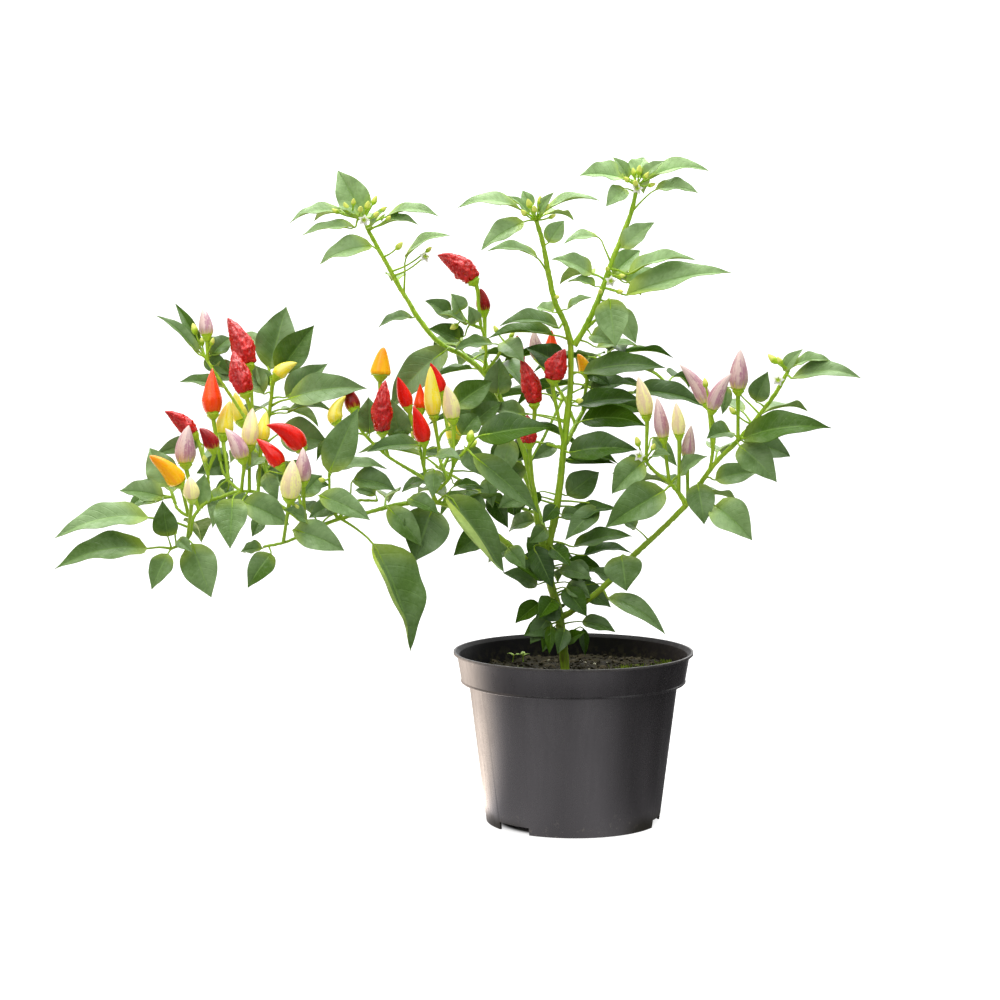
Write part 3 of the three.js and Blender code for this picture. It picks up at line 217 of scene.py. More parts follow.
        "flowers": [[21, 315, -13]],
        "more_leaves": [
            [10, 284, -4, 24, 279, -12, 14, 50, 0.1], [38, 374, -6, 52, 384, -12, 8, 55, 0.1],
            [31, 374, -1, 22, 386, -4, 8, 60, 0.1],
        ],
        "more_buds": [
            [34, 377, -6, 3.6], [41, 375, -10, 4], [30, 373, -11, 3.6], [44, 370, -6, 3.4],
            [35, 371, -14, 4.2], [26, 309, -12, 3.6], [15, 309, -12, 3.4], [19, 322, -10, 3.2],
            [27, 318, -10, 3.4],
        ],
        "more_flowers": [[36, 368, -13]],
    },
    "right_limb": {
        "sweep": ["x", -8, 0, 124, -28],
        "stems": [
            [1.9, 1.5, [-8, 119, -1], [2, 125, -4], [18, 138, -8], [36, 157, -12], [50, 170, -15],
             [65, 185, -18]],
            [1.2, 0.9, [65, 185, -18], [61, 192, -18], [55, 199, -17], [47, 205, -16],
             [41, 212, -15]],
            [1.5, 1.1, [65, 185, -18], [77, 203, -19], [83, 211, -19], [95, 223, -18],
             [109, 240, -18], [117, 251, -18], [124, 264, -18]],
            [1, 0.8, [79, 206, -19], [81, 220, -21], [82, 230, -22]],
        ],
        "leaves": [
            [40, 210, -20, 22, 192, -28, 18, 65, 0.09], [42, 208, -8, 22, 204, -2, 16, 50, 0.06],
            [52, 194, -23, 16, 173, -34, 23, 65, 0.05], [45, 213, -17, 58, 215, -26, 9, 40, 0.06],
            [90, 228, -20, 73, 225, -30, 14, 50, 0.06], [72, 198, -25, 76, 174, -32, 17, 80, 0.03],
            [82, 185, -23, 104, 165, -32, 22, 65, 0.09], [82, 200, -9, 107, 205, -2, 15, 50, 0.06],
            [96, 220, -24, 118, 199, -32, 20, 68, 0.06], [98, 224, -22, 149, 231, -34, 21, 55, 0.1],
            [99, 222, -10, 126, 214, -4, 17, 55, 0.06],
            [105, 246, -20, 112, 263, -26, 13, 70, 0.02],
            [127, 266, -19, 149, 269, -25, 11, 40, 0.12],
            [126, 259, -21, 166, 260, -30, 14, 38, 0.12],
            [20, 131, -10, 54, 110, -16, 13, 45, 0.15], [28, 156, -18, 31, 135, -24, 23, 85, 0.02],
        ],
        "fans": [
            [66, 187, -16, 2, 40, 120, 8, 36], [82, 210, -17, 1, 80, 80, 8, 36],
            [103, 233, -16, 2, 40, 120, 10, 34],
        ],
        "fruits": [
            [42, 237, -16, 37, 260, -16, 9.5, "cream", 42, 211],
            [52, 224, -22, 48, 248, -22, 8.5, "lilac", 55, 199],
            [61, 226, -27, 59, 245, -28, 8, "cream", 61, 192],
            [66, 213, -19, 68, 232, -19, 8, "lilac", 66, 187],
            [77, 244, -17, 61, 267, -19, 9, "lilac", 81, 218],
            [80, 241, -29, 91, 262, -31, 9, "lilac", 81, 224],
            [95, 252, -19, 96, 276, -19, 11, "lilac", 95, 223],
        ],
        "buds": [[115, 270, -17, 5], [76, 256, -27, 4], [37, 222, -22, 4.5]],
        "flowers": [[38, 214, -24]],
        "more_leaves": [
            [46, 225, -6, 60, 208, -8, 9, 80, 0.04], [89, 254, -16, 86, 238, -18, 7, 80, 0.04],
            [36, 172, -16, 22, 182, -24, 12, 50, 0.1], [62, 204, -22, 77, 214, -32, 12, 55, 0.1],
            [121, 264, -16, 132, 276, -20, 8, 60, 0.1],
        ],
        "more_buds": [
            [92, 240, -26, 4], [119, 269, -21, 3.6], [125, 270, -15, 3.4], [46, 219, -22, 3.6],
        ],
        "more_flowers": [[118, 258, -25]],
    },
    "left_arm": {
        "sweep": ["x", -14, 0, -167, -30],
        "stems": [
            [1.8, 0.8, [-14, 144, 0], [-28, 154, -6], [-45, 168, -11], [-62, 180, -13],
             [-80, 187, -14], [-100, 186, -14], [-120, 181, -14], [-137, 177, -14],
             [-152, 171, -14], [-167, 164, -15], [-180, 161, -16]],
            [1, 0.8, [-137, 177, -14], [-141, 186, -14], [-142, 202, -14]],
            [1, 0.8, [-152, 171, -14], [-157, 180, -11], [-160, 192, -6], [-163, 202, 0]],
            [0.9, 0.8, [-137, 177, -14], [-128, 187, -12], [-114, 188, -12]],
        ],
        "leaves": [
            [-117, 163, -24, -94, 100, -36, 30, 16, 0.07, -134, 177],
            [-74, 191, -19, -40, 146, -30, 18, 62, 0.09, -78, 187],
            [-82, 184, -17, -93, 152, -22, 28, 85, 0.03],
            [-108, 184, -19, -88, 161, -26, 15, 60, 0.06],
            [-52, 169, -9, -70, 156, -16, 15, 62, 0.06],
            [-38, 160, -14, -28, 148, -24, 12, 65, 0.06],
            [-70, 196, -14, -54, 197, -22, 9, 30, 0.06, -76, 186],
            [-148, 191, -18, -118, 177, -28, 16, 52, 0.06, -141, 186],
            [-163, 171, -19, -133, 159, -27, 18, 58, 0.07],
            [-176, 157, -18, -190, 137, -26, 15, 65, 0.06],
            [-181, 160, -9, -194, 158, -3, 10, 45, 0.06],
            [-142, 204, -15, -125, 242, -20, 20, 78, 0.02],
            [-140, 205, -11, -108, 207, -18, 11, 28, 0.12],
            [-128, 200, -13, -103, 194, -22, 15, 50, 0.12, -131, 184],
            [-158, 190, -4, -146, 203, 2, 14, 60, 0.06],
            [-96, 189, -20, -78, 180, -32, 13, 45, 0.06],
            [-155, 176, -20, -168, 183, -30, 12, 50, 0.06],
        ],
        "fans": [
            [-72, 184, -11, 2, 50, 120, 8, 36], [-110, 184, -12, 1, 90, 90, 8, 36],
            [-148, 173, -12, 2, 60, 120, 10, 32],
        ],
        "fruits": [
            [-165, 189, -27, -163, 212, -27, 12, "cream", -167, 165],
            [-157, 199, -18, -157, 219, -18, 9.5, "lilac", -157, 180],
            [-158, 218, -5, -178, 232, -10, 12, "red", -160, 192],
        ],
        "more_leaves": [
            [-179, 204, 6, -172, 188, 0, 10, 80, 0.04], [-154, 198, 8, -142, 197, 4, 9, 65, 0.05],
            [-138, 187, -10, -154, 178, -16, 12, 70, 0.05],
            [-164, 210, 10, -171, 199, 4, 10, 80, 0.04], [-115, 191, -7, -127, 194, 0, 10, 45, 0.1],
            [-56, 178, -5, -62, 194, 2, 14, 50, 0.1], [-34, 160, -3, -50, 152, 8, 14, 40, 0.1],
        ],
        "more_buds": [[-161, 184, -24, 4], [-146, 200, -18, 3.6]],
    },
    "middle": {
        "sweep": ["x", -14, 0, -167, -30],
        "stems": [
            [1.3, 0.9, [-80, 187, -14], [-85, 200, -13], [-88, 212, -12], [-90, 222, -8]],
            [1.1, 0.8, [-85, 200, -13], [-97, 207, -9], [-108, 214, -6], [-119, 224, -2],
             [-127, 234, 3]],
            [1.1, 0.8, [-82, 192, -14], [-73, 200, -16], [-69, 210, -17], [-62, 218, -19]],
            [1, 0.8, [-73, 200, -16], [-78, 214, -9], [-77, 226, -3], [-66, 234, 2]],
        ],
        "leaves": [
            [-90, 220, -20, -120, 217, -28, 13, 38, 0.06],
            [-118, 226, -5, -121, 247, -8, 15, 75, 0.03],
            [-100, 222, 3, -106, 247, 8, 16, 70, 0.03],
            [-82, 206, -20, -84, 190, -26, 11, 72, 0.03],
            [-74, 199, -10, -98, 197, -2, 13, 35, 0.09], [-70, 242, 3, -47, 258, 8, 18, 62, 0.03],
            [-56, 225, -24, -13, 231, -34, 21, 55, 0.05],
            [-59, 215, -25, -20, 181, -32, 17, 60, 0.03],
            [-66, 226, -8, -55, 238, -2, 15, 60, 0.06], [-60, 232, 8, -44, 246, 14, 15, 55, 0.06],
        ],
        "fans": [[-120, 226, 1, 2, 60, 140, 8, 32]],
        "fruits": [
            [-112, 260, 3, -110, 277, 3, 12, "orange", -110, 216],
            [-111, 228, -12, -109, 258, -12, 11.5, "wrinkled", -108, 214],
            [-96, 242, -4, -102, 260, -6, 8.5, "red", -92, 212],
            [-87, 222, -15, -93, 243, -17, 10, "red", -87, 208],
            [-89, 240, 6, -89, 256, 6, 8, "scarlet", -90, 222],
            [-77, 250, 7, -83, 268, 6, 9, "red", -77, 228],
            [-81, 237, -5, -83, 266, -7, 10, "yellow", -78, 215],
            [-70, 235, -14, -74, 255, -15, 10, "cream", -70, 208],
            [-137, 233, 6, -132, 249, 6, 9, "yellow", -124, 230],
            [-127, 240, 10, -133, 256, 12, 9, "dark", -126, 232],
        ],
        "buds": [[-60, 225, -12, 6]],
        "more_leaves": [
            [-87, 216, 4, -71, 213, -4, 8, 45, 0.08], [-63, 219, -6, -52, 202, -16, 14, 80, 0.04],
            [-68, 197, 6, -52, 195, 2, 6, 55, 0.05], [-51, 201, 12, -47, 184, 6, 10, 80, 0.03],
            [-88, 200, 8, -100, 193, 4, 8, 55, 0.06], [-92, 228, 4, -106, 227, 0, 6, 40, 0.07],
            [-80, 214, -19, -65, 212, -30, 11, 40, 0.1],
        ],
        "more_buds": [[-58, 221, -15, 4], [-93, 226, -11, 3.6], [-122, 236, -2, 3.6]],
    },
    "left_upper": {
        "sweep": ["z", 171, -27, 271, 14],
        "stems": [
            [1.3, 0.9, [-152, 171, -14], [-163, 180, -8], [-173, 188, -2], [-178, 204, 2],
             [-178, 222, 4], [-176, 242, 3]],
            [1.1, 0.9, [-173, 188, -2], [-185, 193, -6], [-198, 193, -9]],
            [1.1, 0.8, [-178, 214, 3], [-188, 232, 5], [-198, 248, 4], [-206, 260, 2],
             [-213, 271, 0]],
            [1, 0.8, [-176, 242, 3], [-175, 254, 4], [-176, 262, 6]],
            [0.9, 0.8, [-193, 193, -8], [-202, 202, -5], [-206, 214, -3]],
        ],
        "leaves": [
            [-176, 264, 8, -166, 301, 5, 25, 85, 0], [-171, 262, 1, -150, 290, -8, 20, 78, 0],
            [-167, 250, -5, -146, 273, -14, 18, 72, 0],
            [-165, 247, -10, -120, 254, -20, 21, 52, 0.08],
            [-166, 239, -4, -139, 240, -12, 9, 28, 0.15],
            [-179, 250, 7, -187, 268, 12, 14, 65, 0.06],
            [-210, 272, 4, -198, 283, 12, 14, 65, 0.06],
            [-208, 266, 5, -195, 258, 12, 14, 65, 0.06],
            [-202, 254, -2, -227, 257, -10, 11, 38, 0.07],
            [-217, 273, -3, -241, 296, -10, 9, 20, 0.07], [-216, 276, 2, -230, 303, 4, 8, 25, 0.03],
            [-198, 189, -24, -200, 160, -31, 20, 82, 0.03, -190, 194],
            [-192, 187, -16, -165, 174, -9, 19, 58, 0.06, -188, 193],
            [-204, 195, -20, -210, 173, -27, 12, 72, 0.03, -196, 196],
            [-205, 200, -16, -221, 206, -24, 19, 62, 0.06],
            [-203, 206, 3, -213, 218, 12, 16, 60, 0.06],
            [-184, 197, 4, -168, 203, 14, 17, 58, 0.06],
            [-170, 227, 8, -142, 222, 6, 22, 68, 0.03, -178, 220],
        ],
        "fans": [[-178, 206, 4, 2, 60, 120, 8, 36], [-177, 238, 5, 2, 50, 120, 8, 36]],
        "fruits": [
            [-209, 238, -10, -209, 265, -12, 12, "scarlet", -206, 214],
            [-188, 266, -3, -200, 294, -5, 13, "wrinkled", -186, 230],
            [-190, 250, -18, -197, 275, -20, 12, "wrinkled", -184, 226],
            [-212, 283, -4, -214, 300, -4, 8.5, "lilac", -212, 270],
            [-172, 260, -8, -160, 268, -10, 8.5, "yellow", -176, 240],
            [-203, 225, 0, -199, 246, -1, 11, "yellow", -199, 198],
            [-192, 233, 14, -196, 251, 14, 10, "yellow", -188, 194],
            [-188, 219, -16, -186, 242, -17, 10, "cream", -187, 194],
            [-181, 222, -9, -178, 240, -10, 8.5, "yellow", -183, 192],
            [-192, 212, -21, -202, 230, -24, 10, "lilac", -192, 194],
            [-170, 208, -26, -184, 224, -29, 10, "red", -168, 185],
        ],
        "buds": [[-219, 287, -2, 5]],
        "more_leaves": [
            [-200, 210, 4, -219, 204, -2, 14, 75, 0.05],
            [-206, 196, -6, -210, 172, -10, 11, 85, 0.02],
            [-182, 177, 6, -187, 167, 2, 9, 80, 0.04], [-198, 199, 8, -210, 189, 2, 10, 75, 0.05],
            [-201, 190, 8, -184, 186, 2, 10, 70, 0.05], [-213, 271, 8, -198, 261, 4, 12, 75, 0.04],
            [-176, 255, 8, -184, 266, 4, 10, 80, 0.03], [-180, 276, 12, -191, 285, 20, 9, 40, 0.1],
            [-181, 214, -6, -190, 206, -14, 12, 50, 0.1],
        ],
        "more_buds": [[-215, 280, 2, 4], [-222, 282, -4, 3.6], [-209, 280, -6, 3.4]],
    },
    "left_spray": {
        "sweep": ["x", -197, -18, -302, -44],
        "stems": [
            [1.1, 0.8, [-197, 193, -9], [-205, 190, -10], [-213, 187, -12], [-221, 178, -15],
             [-223, 168, -16], [-229, 162, -17], [-234, 160, -18]],
            [0.9, 0.8, [-221, 178, -15], [-229, 182, -12], [-233, 190, -8]],
            [0.9, 0.8, [-210, 188, -11], [-212, 198, -8], [-212, 206, -7]],
        ],
        "leaves": [
            [-247, 178, -18, -302, 167, -28, 20, 45, 0.12, -223, 172],
            [-248, 160, -20, -302, 149, -30, 21, 48, 0.12],
            [-236, 157, -20, -246, 136, -28, 14, 62, 0.03],
            [-222, 163, -21, -211, 131, -28, 22, 80, 0.02],
            [-236, 167, -22, -239, 188, -28, 15, 78, 0.02],
            [-230, 165, -20, -222, 158, -30, 8, 60, 0.06],
            [-238, 190, -8, -264, 194, -3, 16, 52, 0.06],
            [-235, 196, -3, -246, 219, 3, 19, 68, 0.03], [-217, 183, -8, -211, 203, -8, 13, 72, 0],
        ],
        "fans": [[-222, 172, -14, 1, 90, 90, 5, 36], [-231, 186, -9, 1, 110, 110, 10, 32]],
        "fruits": [
            [-229, 198, -20, -246, 214, -23, 11.5, "orange", -225, 180],
            [-225, 209, -8, -223, 232, -8, 12, "lilac", -219, 181],
            [-222, 189, -29, -223, 202, -30, 9.5, "cream", -223, 168],
            [-220, 226, 5, -237, 240, 4, 9.5, "wrinkled", -212, 202],
            [-209, 218, -9, -217, 230, -9, 9.5, "dark", -212, 206],
        ],
        "more_leaves": [
            [-249, 191, 4, -259, 183, 0, 7, 60, 0.05], [-217, 222, 10, -243, 215, 4, 12, 70, 0.05],
            [-243, 187, -2, -256, 184, 8, 12, 40, 0.1],
        ],
        "more_buds": [[-232, 170, -24, 3.6], [-214, 212, -10, 3.6]],
    },
    "back_left": {
        "stems": [
            [1.7, 1, [-14, 160, 0], [-20, 180, 18], [-29, 204, 36], [-38, 228, 50], [-45, 250, 62],
             [-50, 266, 70]],
            [1.1, 0.8, [-29, 204, 36], [-20, 220, 54], [-12, 236, 68], [-6, 248, 78]],
            [1.1, 0.8, [-20, 180, 18], [-42, 188, 38], [-62, 198, 54], [-80, 208, 66]],
        ],
        "leaves": [
            [-38, 192, 30, -32, 178, 24, 15, 60, 0.06], [-34, 214, 36, -22, 222, 30, 15, 55, 0.06],
            [-42, 246, 52, -58, 240, 46, 15, 50, 0.06],
        ],
        "fans": [
            [-39, 231, 52, 3, -10, 190, 5, 42], [-49, 262, 68, 4, 20, 290, 12, 40],
            [-6, 246, 76, 3, -10, 200, 15, 38], [-46, 190, 41, 1, 130, 130, 5, 38],
            [-78, 207, 65, 3, 50, 290, 12, 38],
        ],
        "fruits": [
            [-36, 262, 74, -33, 284, 76, 11, "wrinkled", -44, 248],
            [-70, 222, 72, -72, 243, 74, 10, "yellow", -72, 204],
        ],
        "buds": [[-52, 276, 72, 4.5]],
    },
    "back_right": {
        "stems": [
            [1.6, 1, [-6, 219, 1], [1, 232, 14], [9, 247, 28], [15, 259, 42], [19, 270, 54]],
            [1.1, 0.8, [9, 247, 28], [26, 250, 36], [42, 252, 44], [56, 256, 52]],
            [1, 0.9, [1, 232, 14], [-6, 248, 24], [-12, 258, 28]],
        ],
        "leaves": [
            [34, 251, 34, 77, 243, 26, 16, 38, 0.09], [4, 234, 8, 42, 232, 4, 18, 45, 0.12],
            [8, 252, 18, 33, 256, 12, 14, 35, 0.06], [20, 246, 26, 44, 238, 20, 15, 50, 0.06],
        ],
        "fans": [
            [12, 253, 34, 1, 150, 150, 5, 38], [19, 268, 52, 4, 20, 280, 12, 38],
            [54, 255, 51, 3, 70, 200, 12, 40],
        ],
        "fruits": [
            [-20, 270, 28, -23, 287, 28, 8.5, "lilac", -10, 254],
            [-13, 272, 38, -13, 287, 38, 8.5, "scarlet", -11, 257],
            [7, 262, 20, 2, 273, 20, 8.5, "orange", 6, 240],
        ],
        "buds": [[20, 281, 56, 4.5]],
    },
}

MM = 0.001
EYE = Vector((-43, -1500, 336)) * MM  # where the front elevation is drawn from
BODY = "root"
BUILT_WITHIN = 0.5 * MM  # a built leaf has a corner this close to its tip
BLADE_FOLD = 0.36  # radians that each half of a blade rises from its rib
CALYX_HEIGHT = 3 * MM
CALYX_SHARE = 0.33  # calyx radius over the pod's width, where the stalk meets it
STALK_RADIUS = 1 * MM
FLOWER_RADIUS = 3.6 * MM
# Compass and rise in degrees by which a leaf may have been turned to be clear of the rest.
TURNS = [
    (0, 0), (9, 0), (-9, 0), (0, 9), (0, -9), (18, 0), (-18, 0), (12, 12), (-12, 12),
    (0, 18), (0, -18), (27, 0), (-27, 0), (20, -14), (-20, -14), (20, 20), (-20, 20),
    (38, 0), (-38, 0), (0, 32), (0, -32), (50, 10), (-50, 10), (35, -25), (-35, -25),
    (65, 0), (-65, 0),
]
# Each kind of pod: where it is fullest, from its base to its tip, and how it tapers from there.
SHAPES = {
    "wrinkled": (0.32, 1.5, 0.8),
    "dark": (0.3, 1.5, 0.7),
    "red": (0.3, 1.35, 0.8),
    "scarlet": (0.27, 1.15, 0.85),
    "orange": (0.12, 1.05, 0.55),
    "yellow": (0.26, 1.35, 0.7),
    "cream": (0.3, 1.55, 0.8),
    "lilac": (0.27, 1.6, 0.85),
}
# How old each limb's foliage is: 0 is fresh and pale, 1 is old and dark. Partly painted light: the
# top shoots are painted paler, as if lit from above, and the trunk and back limbs darker, as if
# shaded.
AGES_AND_LIGHT = {
    "main_stem": 0.96,
    "top_left": 0.1,
    "top_centre": 0.08,
    "top_right": 0.12,
    "right_limb": 0.57,
    "left_arm": 0.6,
    "middle": 0.74,
    "left_upper": 0.62,
    "left_spray": 0.48,
    "back_left": 0.9,
    "back_right": 0.9,
}
# The height below which the leaves of a tall shoot are old, and painted darker as shade.
OLD_AND_SHADED_BELOW = {"top_left": 0.315, "top_centre": 0.305, "top_right": 0.268}
# Leaves that roll one margin up over the blade, by where the list starts them: how far out
# the roll starts and how much wider the blade is than it looks.
ROLLED = {(-74, 191): (0.42, 1.35), (-117, 163): (0.7, 1.15)}
ROLL_RADIUS = 0.07  # over the blade's half width


def spot(limb, x, z, depth):
    """The place seen at x, z from the front that lies depth behind the plane y = 0."""
    if "sweep" in limb:
        axis, start, at_start, end, at_end = limb["sweep"]
        share = ((x if axis == "x" else z) - start) / (end - start)
        depth += at_start + (at_end - at_start) * share
    return EYE.lerp(Vector((x, 0, z)) * MM, 1 - depth * MM / EYE.y)


def held(value, low, high):
    """The value, kept within its range."""
    return min(max(value, low), high)


def nearest_on_stems(limb, target):
    """The point on the limb's stems that is nearest to the target."""
    places = []
    for _, _, *stations in limb["stems"]:
        points = [spot(limb, *station) for station in stations]
        for a, b in zip(points, points[1:]):
            share = intersect_point_line(target, a, b)[1]
            places.append(a.lerp(b, held(share, 0, 1)))
    return min(places, key=lambda place: (place - target).length)


def bezier(a, b, c, t):
    """A point of the curve from a to c that heads for b first."""
    return a.lerp(b, t).lerp(b.lerp(c, t), t)


def heading(a, b, c, t):
    """The way that the same curve runs there."""
    return (b.lerp(c, t) - a.lerp(b, t)).normalized()


def across_way(vector, way):
    """What is left of a vector across a way, one unit long."""
    return (vector - way * vector.dot(way)).normalized()


def listed_leaf(limb, row):
    """A leaf of the list: where its stalk leaves the stem, its blade's ends and its facing."""
    bx, bz, bd, tx, tz, td, width, turn, bow, *root = row
    base = spot(limb, bx, bz, bd)
    hint = spot(limb, *root, bd) if root else base
    angle = math.radians(turn)
    return SimpleNamespace(
        root=nearest_on_stems(limb, hint),
        base=base,
        tip=spot(limb, tx, tz, td),
        width=width * MM,
        facing=Vector((0, -math.sin(angle), math.cos(angle))),
        bow=bow,
        rolled=ROLLED.get((bx, bz)),
    )


def fan_leaves(limb, row):
    """The leaves of a fan, spread evenly between two compass angles round a node."""
    x, z, depth, count, first, last, rise, length = row
    root = nearest_on_stems(limb, spot(limb, x, z, depth))
    leaves = []
    for i in range(count):
        compass = math.radians(first + (last - first) * (i / (count - 1) if count > 1 else 0.5))
        climb = math.radians(rise + 12 * math.sin(5 * i + x))
        reach = length * MM * (1 + 0.12 * math.sin(3 * i + z))

        def way(angle):
            flat = math.cos(angle)
            return Vector((math.cos(compass) * flat, math.sin(compass) * flat, math.sin(angle)))

        base = root + way(climb + 0.25) * 0.32 * reach
        tip = base + way(climb - 0.3) * reach
        facing = Vector((0, 0, 1)) + way(0) * 0.35
        leaves.append(SimpleNamespace(
            root=root, base=base, tip=tip, width=0.42 * reach, facing=facing, bow=0.08,
            rolled=None))
    return leaves


def turned(leaf, compass, rise):
    """The same leaf turned about its root by degrees of compass angle and of rise."""
    def move(point):
        arm = point - leaf.root
        azimuth = math.atan2(arm.y, arm.x) + math.radians(compass)
        climb = math.atan2(arm.z, math.hypot(arm.x, arm.y)) + math.radians(rise)
        flat = math.cos(climb)
        way = Vector((flat * math.cos(azimuth), flat * math.sin(azimuth), math.sin(climb)))
        return leaf.root + way * arm.length

    return SimpleNamespace(**{**vars(leaf), "base": move(leaf.base), "tip": move(leaf.tip)})


def corners_of(node):
    """A search tree of a solid's corners."""
    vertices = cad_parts[node].data.vertices
    tree = KDTree(len(vertices))
    for i, vertex in enumerate(vertices):
        tree.insert(vertex.co, i)
    tree.balance()
    return tree


def leaves_of(name):
    """The limb's leaves, each at the turn that its solid was built at, and the small extras."""
    limb = LIMBS[name]
    asked = [listed_leaf(limb, row) for row in limb["leaves"]]
    for row in limb["fans"]:
        asked += fan_leaves(limb, row)
    corners = corners_of(name)
    built = []
    for leaf in asked:
        candidates = (turned(leaf, *turn) for turn in TURNS)
        found = next((c for c in candidates if corners.find(c.tip)[2] < BUILT_WITHIN), None)
        if found:
            built.append(found)
    return built + [listed_leaf(limb, row) for row in limb.get("more_leaves", [])]


def pods_of(name):
    """The limb's pods: root of the stalk, base, tip, the way the base points, width, kind."""
    limb = LIMBS[name]
    pods = []
    for i, (bx, bz, bd, tx, tz, td, width, kind, rx, rz) in enumerate(limb.get("fruits", [])):
        base = spot(limb, bx, bz, bd)
        tip = spot(limb, tx, tz, td)
        root = nearest_on_stems(limb, spot(limb, rx, rz, bd))
        way = ((tip - base).normalized() + (base - root).normalized()).normalized()
        pods.append(SimpleNamespace(
            root=root, base=base, tip=tip, way=way, width=width * MM, kind=kind,
            node=f"{name}_{kind}_fruit_{i + 1}"))
    return pods


def side_shoots(name, key):
    """The limb's buds or flowers: root and middle of each, and its size where it has one."""
    limb = LIMBS[name]
    rows = limb.get(key, []) + limb.get(f"more_{key}", [])
    shoots = []
    for x, z, depth, *size in rows:
        middle = spot(limb, x, z, depth)
        root = nearest_on_stems(limb, middle)
        shoots.append(SimpleNamespace(root=root, middle=middle, size=[s * MM for s in size]))
    return shoots

# ---------------------------------------------------------------- modelling by hand


def start_fresh():
    """Leaves edit mode and selects nothing."""
    if bpy.context.object and bpy.context.object.mode != "OBJECT":
        bpy.ops.object.mode_set(mode="OBJECT")
    bpy.ops.object.select_all(action="DESELECT")


def pick(*pieces):
    """Selects these pieces alone, the first of them active."""
    start_fresh()
    for piece in pieces:
        piece.select_set(True)
    bpy.context.view_layer.objects.active = pieces[0]


def named(name):
    """The object just made, under its own name."""
    piece = bpy.context.object
    piece.name = name
    piece.data.name = name
    return piece


def edit_all(piece):
    """Opens the piece in edit mode with everything on it selected."""
    pick(piece)
    bpy.ops.object.mode_set(mode="EDIT")
    bpy.ops.mesh.select_all(action="SELECT")


def faced_outwards():
    """Turns all faces of the piece in edit mode outwards and closes it."""
    bpy.ops.mesh.select_all(action="SELECT")
    bpy.ops.mesh.normals_make_consistent(inside=False)
    bpy.ops.object.mode_set(mode="OBJECT")


def welded(piece):
    """Closes seams and poles by merging the points that lie together."""
    edit_all(piece)
    bpy.ops.mesh.remove_doubles(threshold=CLOSE)
    bpy.ops.object.mode_set(mode="OBJECT")


def apply_modifier(piece, kind, **settings):
    """Adds a modifier with these settings and applies it."""
    pick(piece)
    modifier = piece.modifiers.new(kind.title(), kind)
    for key, value in settings.items():
        setattr(modifier, key, value)
    bpy.ops.object.modifier_apply(modifier=modifier.name)


def smooth(piece, angle=180):
    """Shades the piece smooth, with edges sharper than the angle left sharp."""
    pick(piece)
    if angle < 180:
        bpy.ops.object.shade_smooth_by_angle(angle=math.radians(angle))
    else:
        bpy.ops.object.shade_smooth()


def laid(master, place):
    """A copy of the master with its own mesh, each of its points put where place() says."""
    copy = master.copy()
    copy.data = master.data.copy()
    bpy.context.collection.objects.link(copy)
    for vertex in copy.data.vertices:
        vertex.co = place(vertex.co)
    return copy


def discard(*masters):
    """Takes away what was only there to be copied or to cut."""
    for master in masters:
        bpy.data.objects.remove(master)


def note(piece, key, values):
    """Writes a number on each of a piece's points, for its material to read."""
    attribute = piece.data.attributes.new(key, "FLOAT", "POINT")
    attribute.data.foreach_set("value", values)


def joined(name, copies):
    """The copies as one piece."""
    pick(*copies)
    if len(copies) > 1:
        bpy.ops.object.join()
    return named(name)


def dressed(piece, slot, *materials):
    """Gives a finished piece its materials and its body. The slot is not used."""
    piece.data.materials.clear()
    for material in materials:
        piece.data.materials.append(material)
    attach(piece, BODY)
    return piece


def lathed(name, profile, sides):
    """A closed body turned round the upright axis: a disc drawn out from ring to ring."""
    start_fresh()
    (radius, height), *rings = profile
    bpy.ops.mesh.primitive_circle_add(
        vertices=sides, radius=radius, fill_type="NGON", location=(0, 0, height))
    piece = named(name)
    bpy.ops.object.transform_apply(location=True)
    edit_all(piece)
    for next_radius, next_height in rings:
        rise = (0, 0, next_height - height)
        bpy.ops.mesh.extrude_region_move(TRANSFORM_OT_translate={"value": rise})
        growth = next_radius / radius
        bpy.ops.transform.resize(
            value=(growth, growth, 1), center_override=(0, 0, next_height))
        radius, height = next_radius, next_height
    faced_outwards()
    return piece


def tubes(name, lines, roundness, fineness):
    """Round rods along smooth curves. Each line is a list of (place, radius)."""
    start_fresh()
    bpy.ops.curve.primitive_bezier_curve_add()
    piece = named(name)
    curve = piece.data
    curve.splines.clear()
    curve.dimensions = "3D"
    curve.bevel_depth = 1
    curve.bevel_resolution = roundness
    curve.resolution_u = fineness
    curve.use_fill_caps = True
    for line in lines:
        spline = curve.splines.new("BEZIER")
        spline.bezier_points.add(len(line) - 1)
        for point, (place, radius) in zip(spline.bezier_points, line):
            point.co = place
            point.radius = radius
            point.handle_left_type = "AUTO"
            point.handle_right_type = "AUTO"
    bpy.ops.object.convert(target="MESH")
    smooth(piece)
    return piece


def roughen(piece, depth, wavelength):
    """Gives a piece small knobs and hollows along its own normals."""
    shift = Vector((3, 5, 7))
    for vertex in piece.data.vertices:
        knob = noise.noise(vertex.co / wavelength + shift)
        vertex.co += vertex.normal * (depth * knob)


# ---------------------------------------------------------------- masters
#
# Each master is one unit long, +Y or +Z along it. A copy is bent along its own curve.

LEAF_COLUMNS = 12
SIDE_VEINS = 9
LEAF_ROWS = 3 * SIDE_VEINS
VEIN_SLANT = 0.42
BELLY = 0.76
TAPER = 1.26
WIDEST = BELLY / (BELLY + TAPER)
CALYX_STEPS = 4
TEETH = 5  # of a calyx
CLOSE = 1e-6  # what counts as no distance


def leaf_outline(t):
    """A blade's half width at t along its rib: widest low down, drawn out to a fine tip."""
    fullest = WIDEST ** BELLY * (1 - WIDEST) ** TAPER
    return t ** BELLY * (1 - t) ** TAPER / fullest


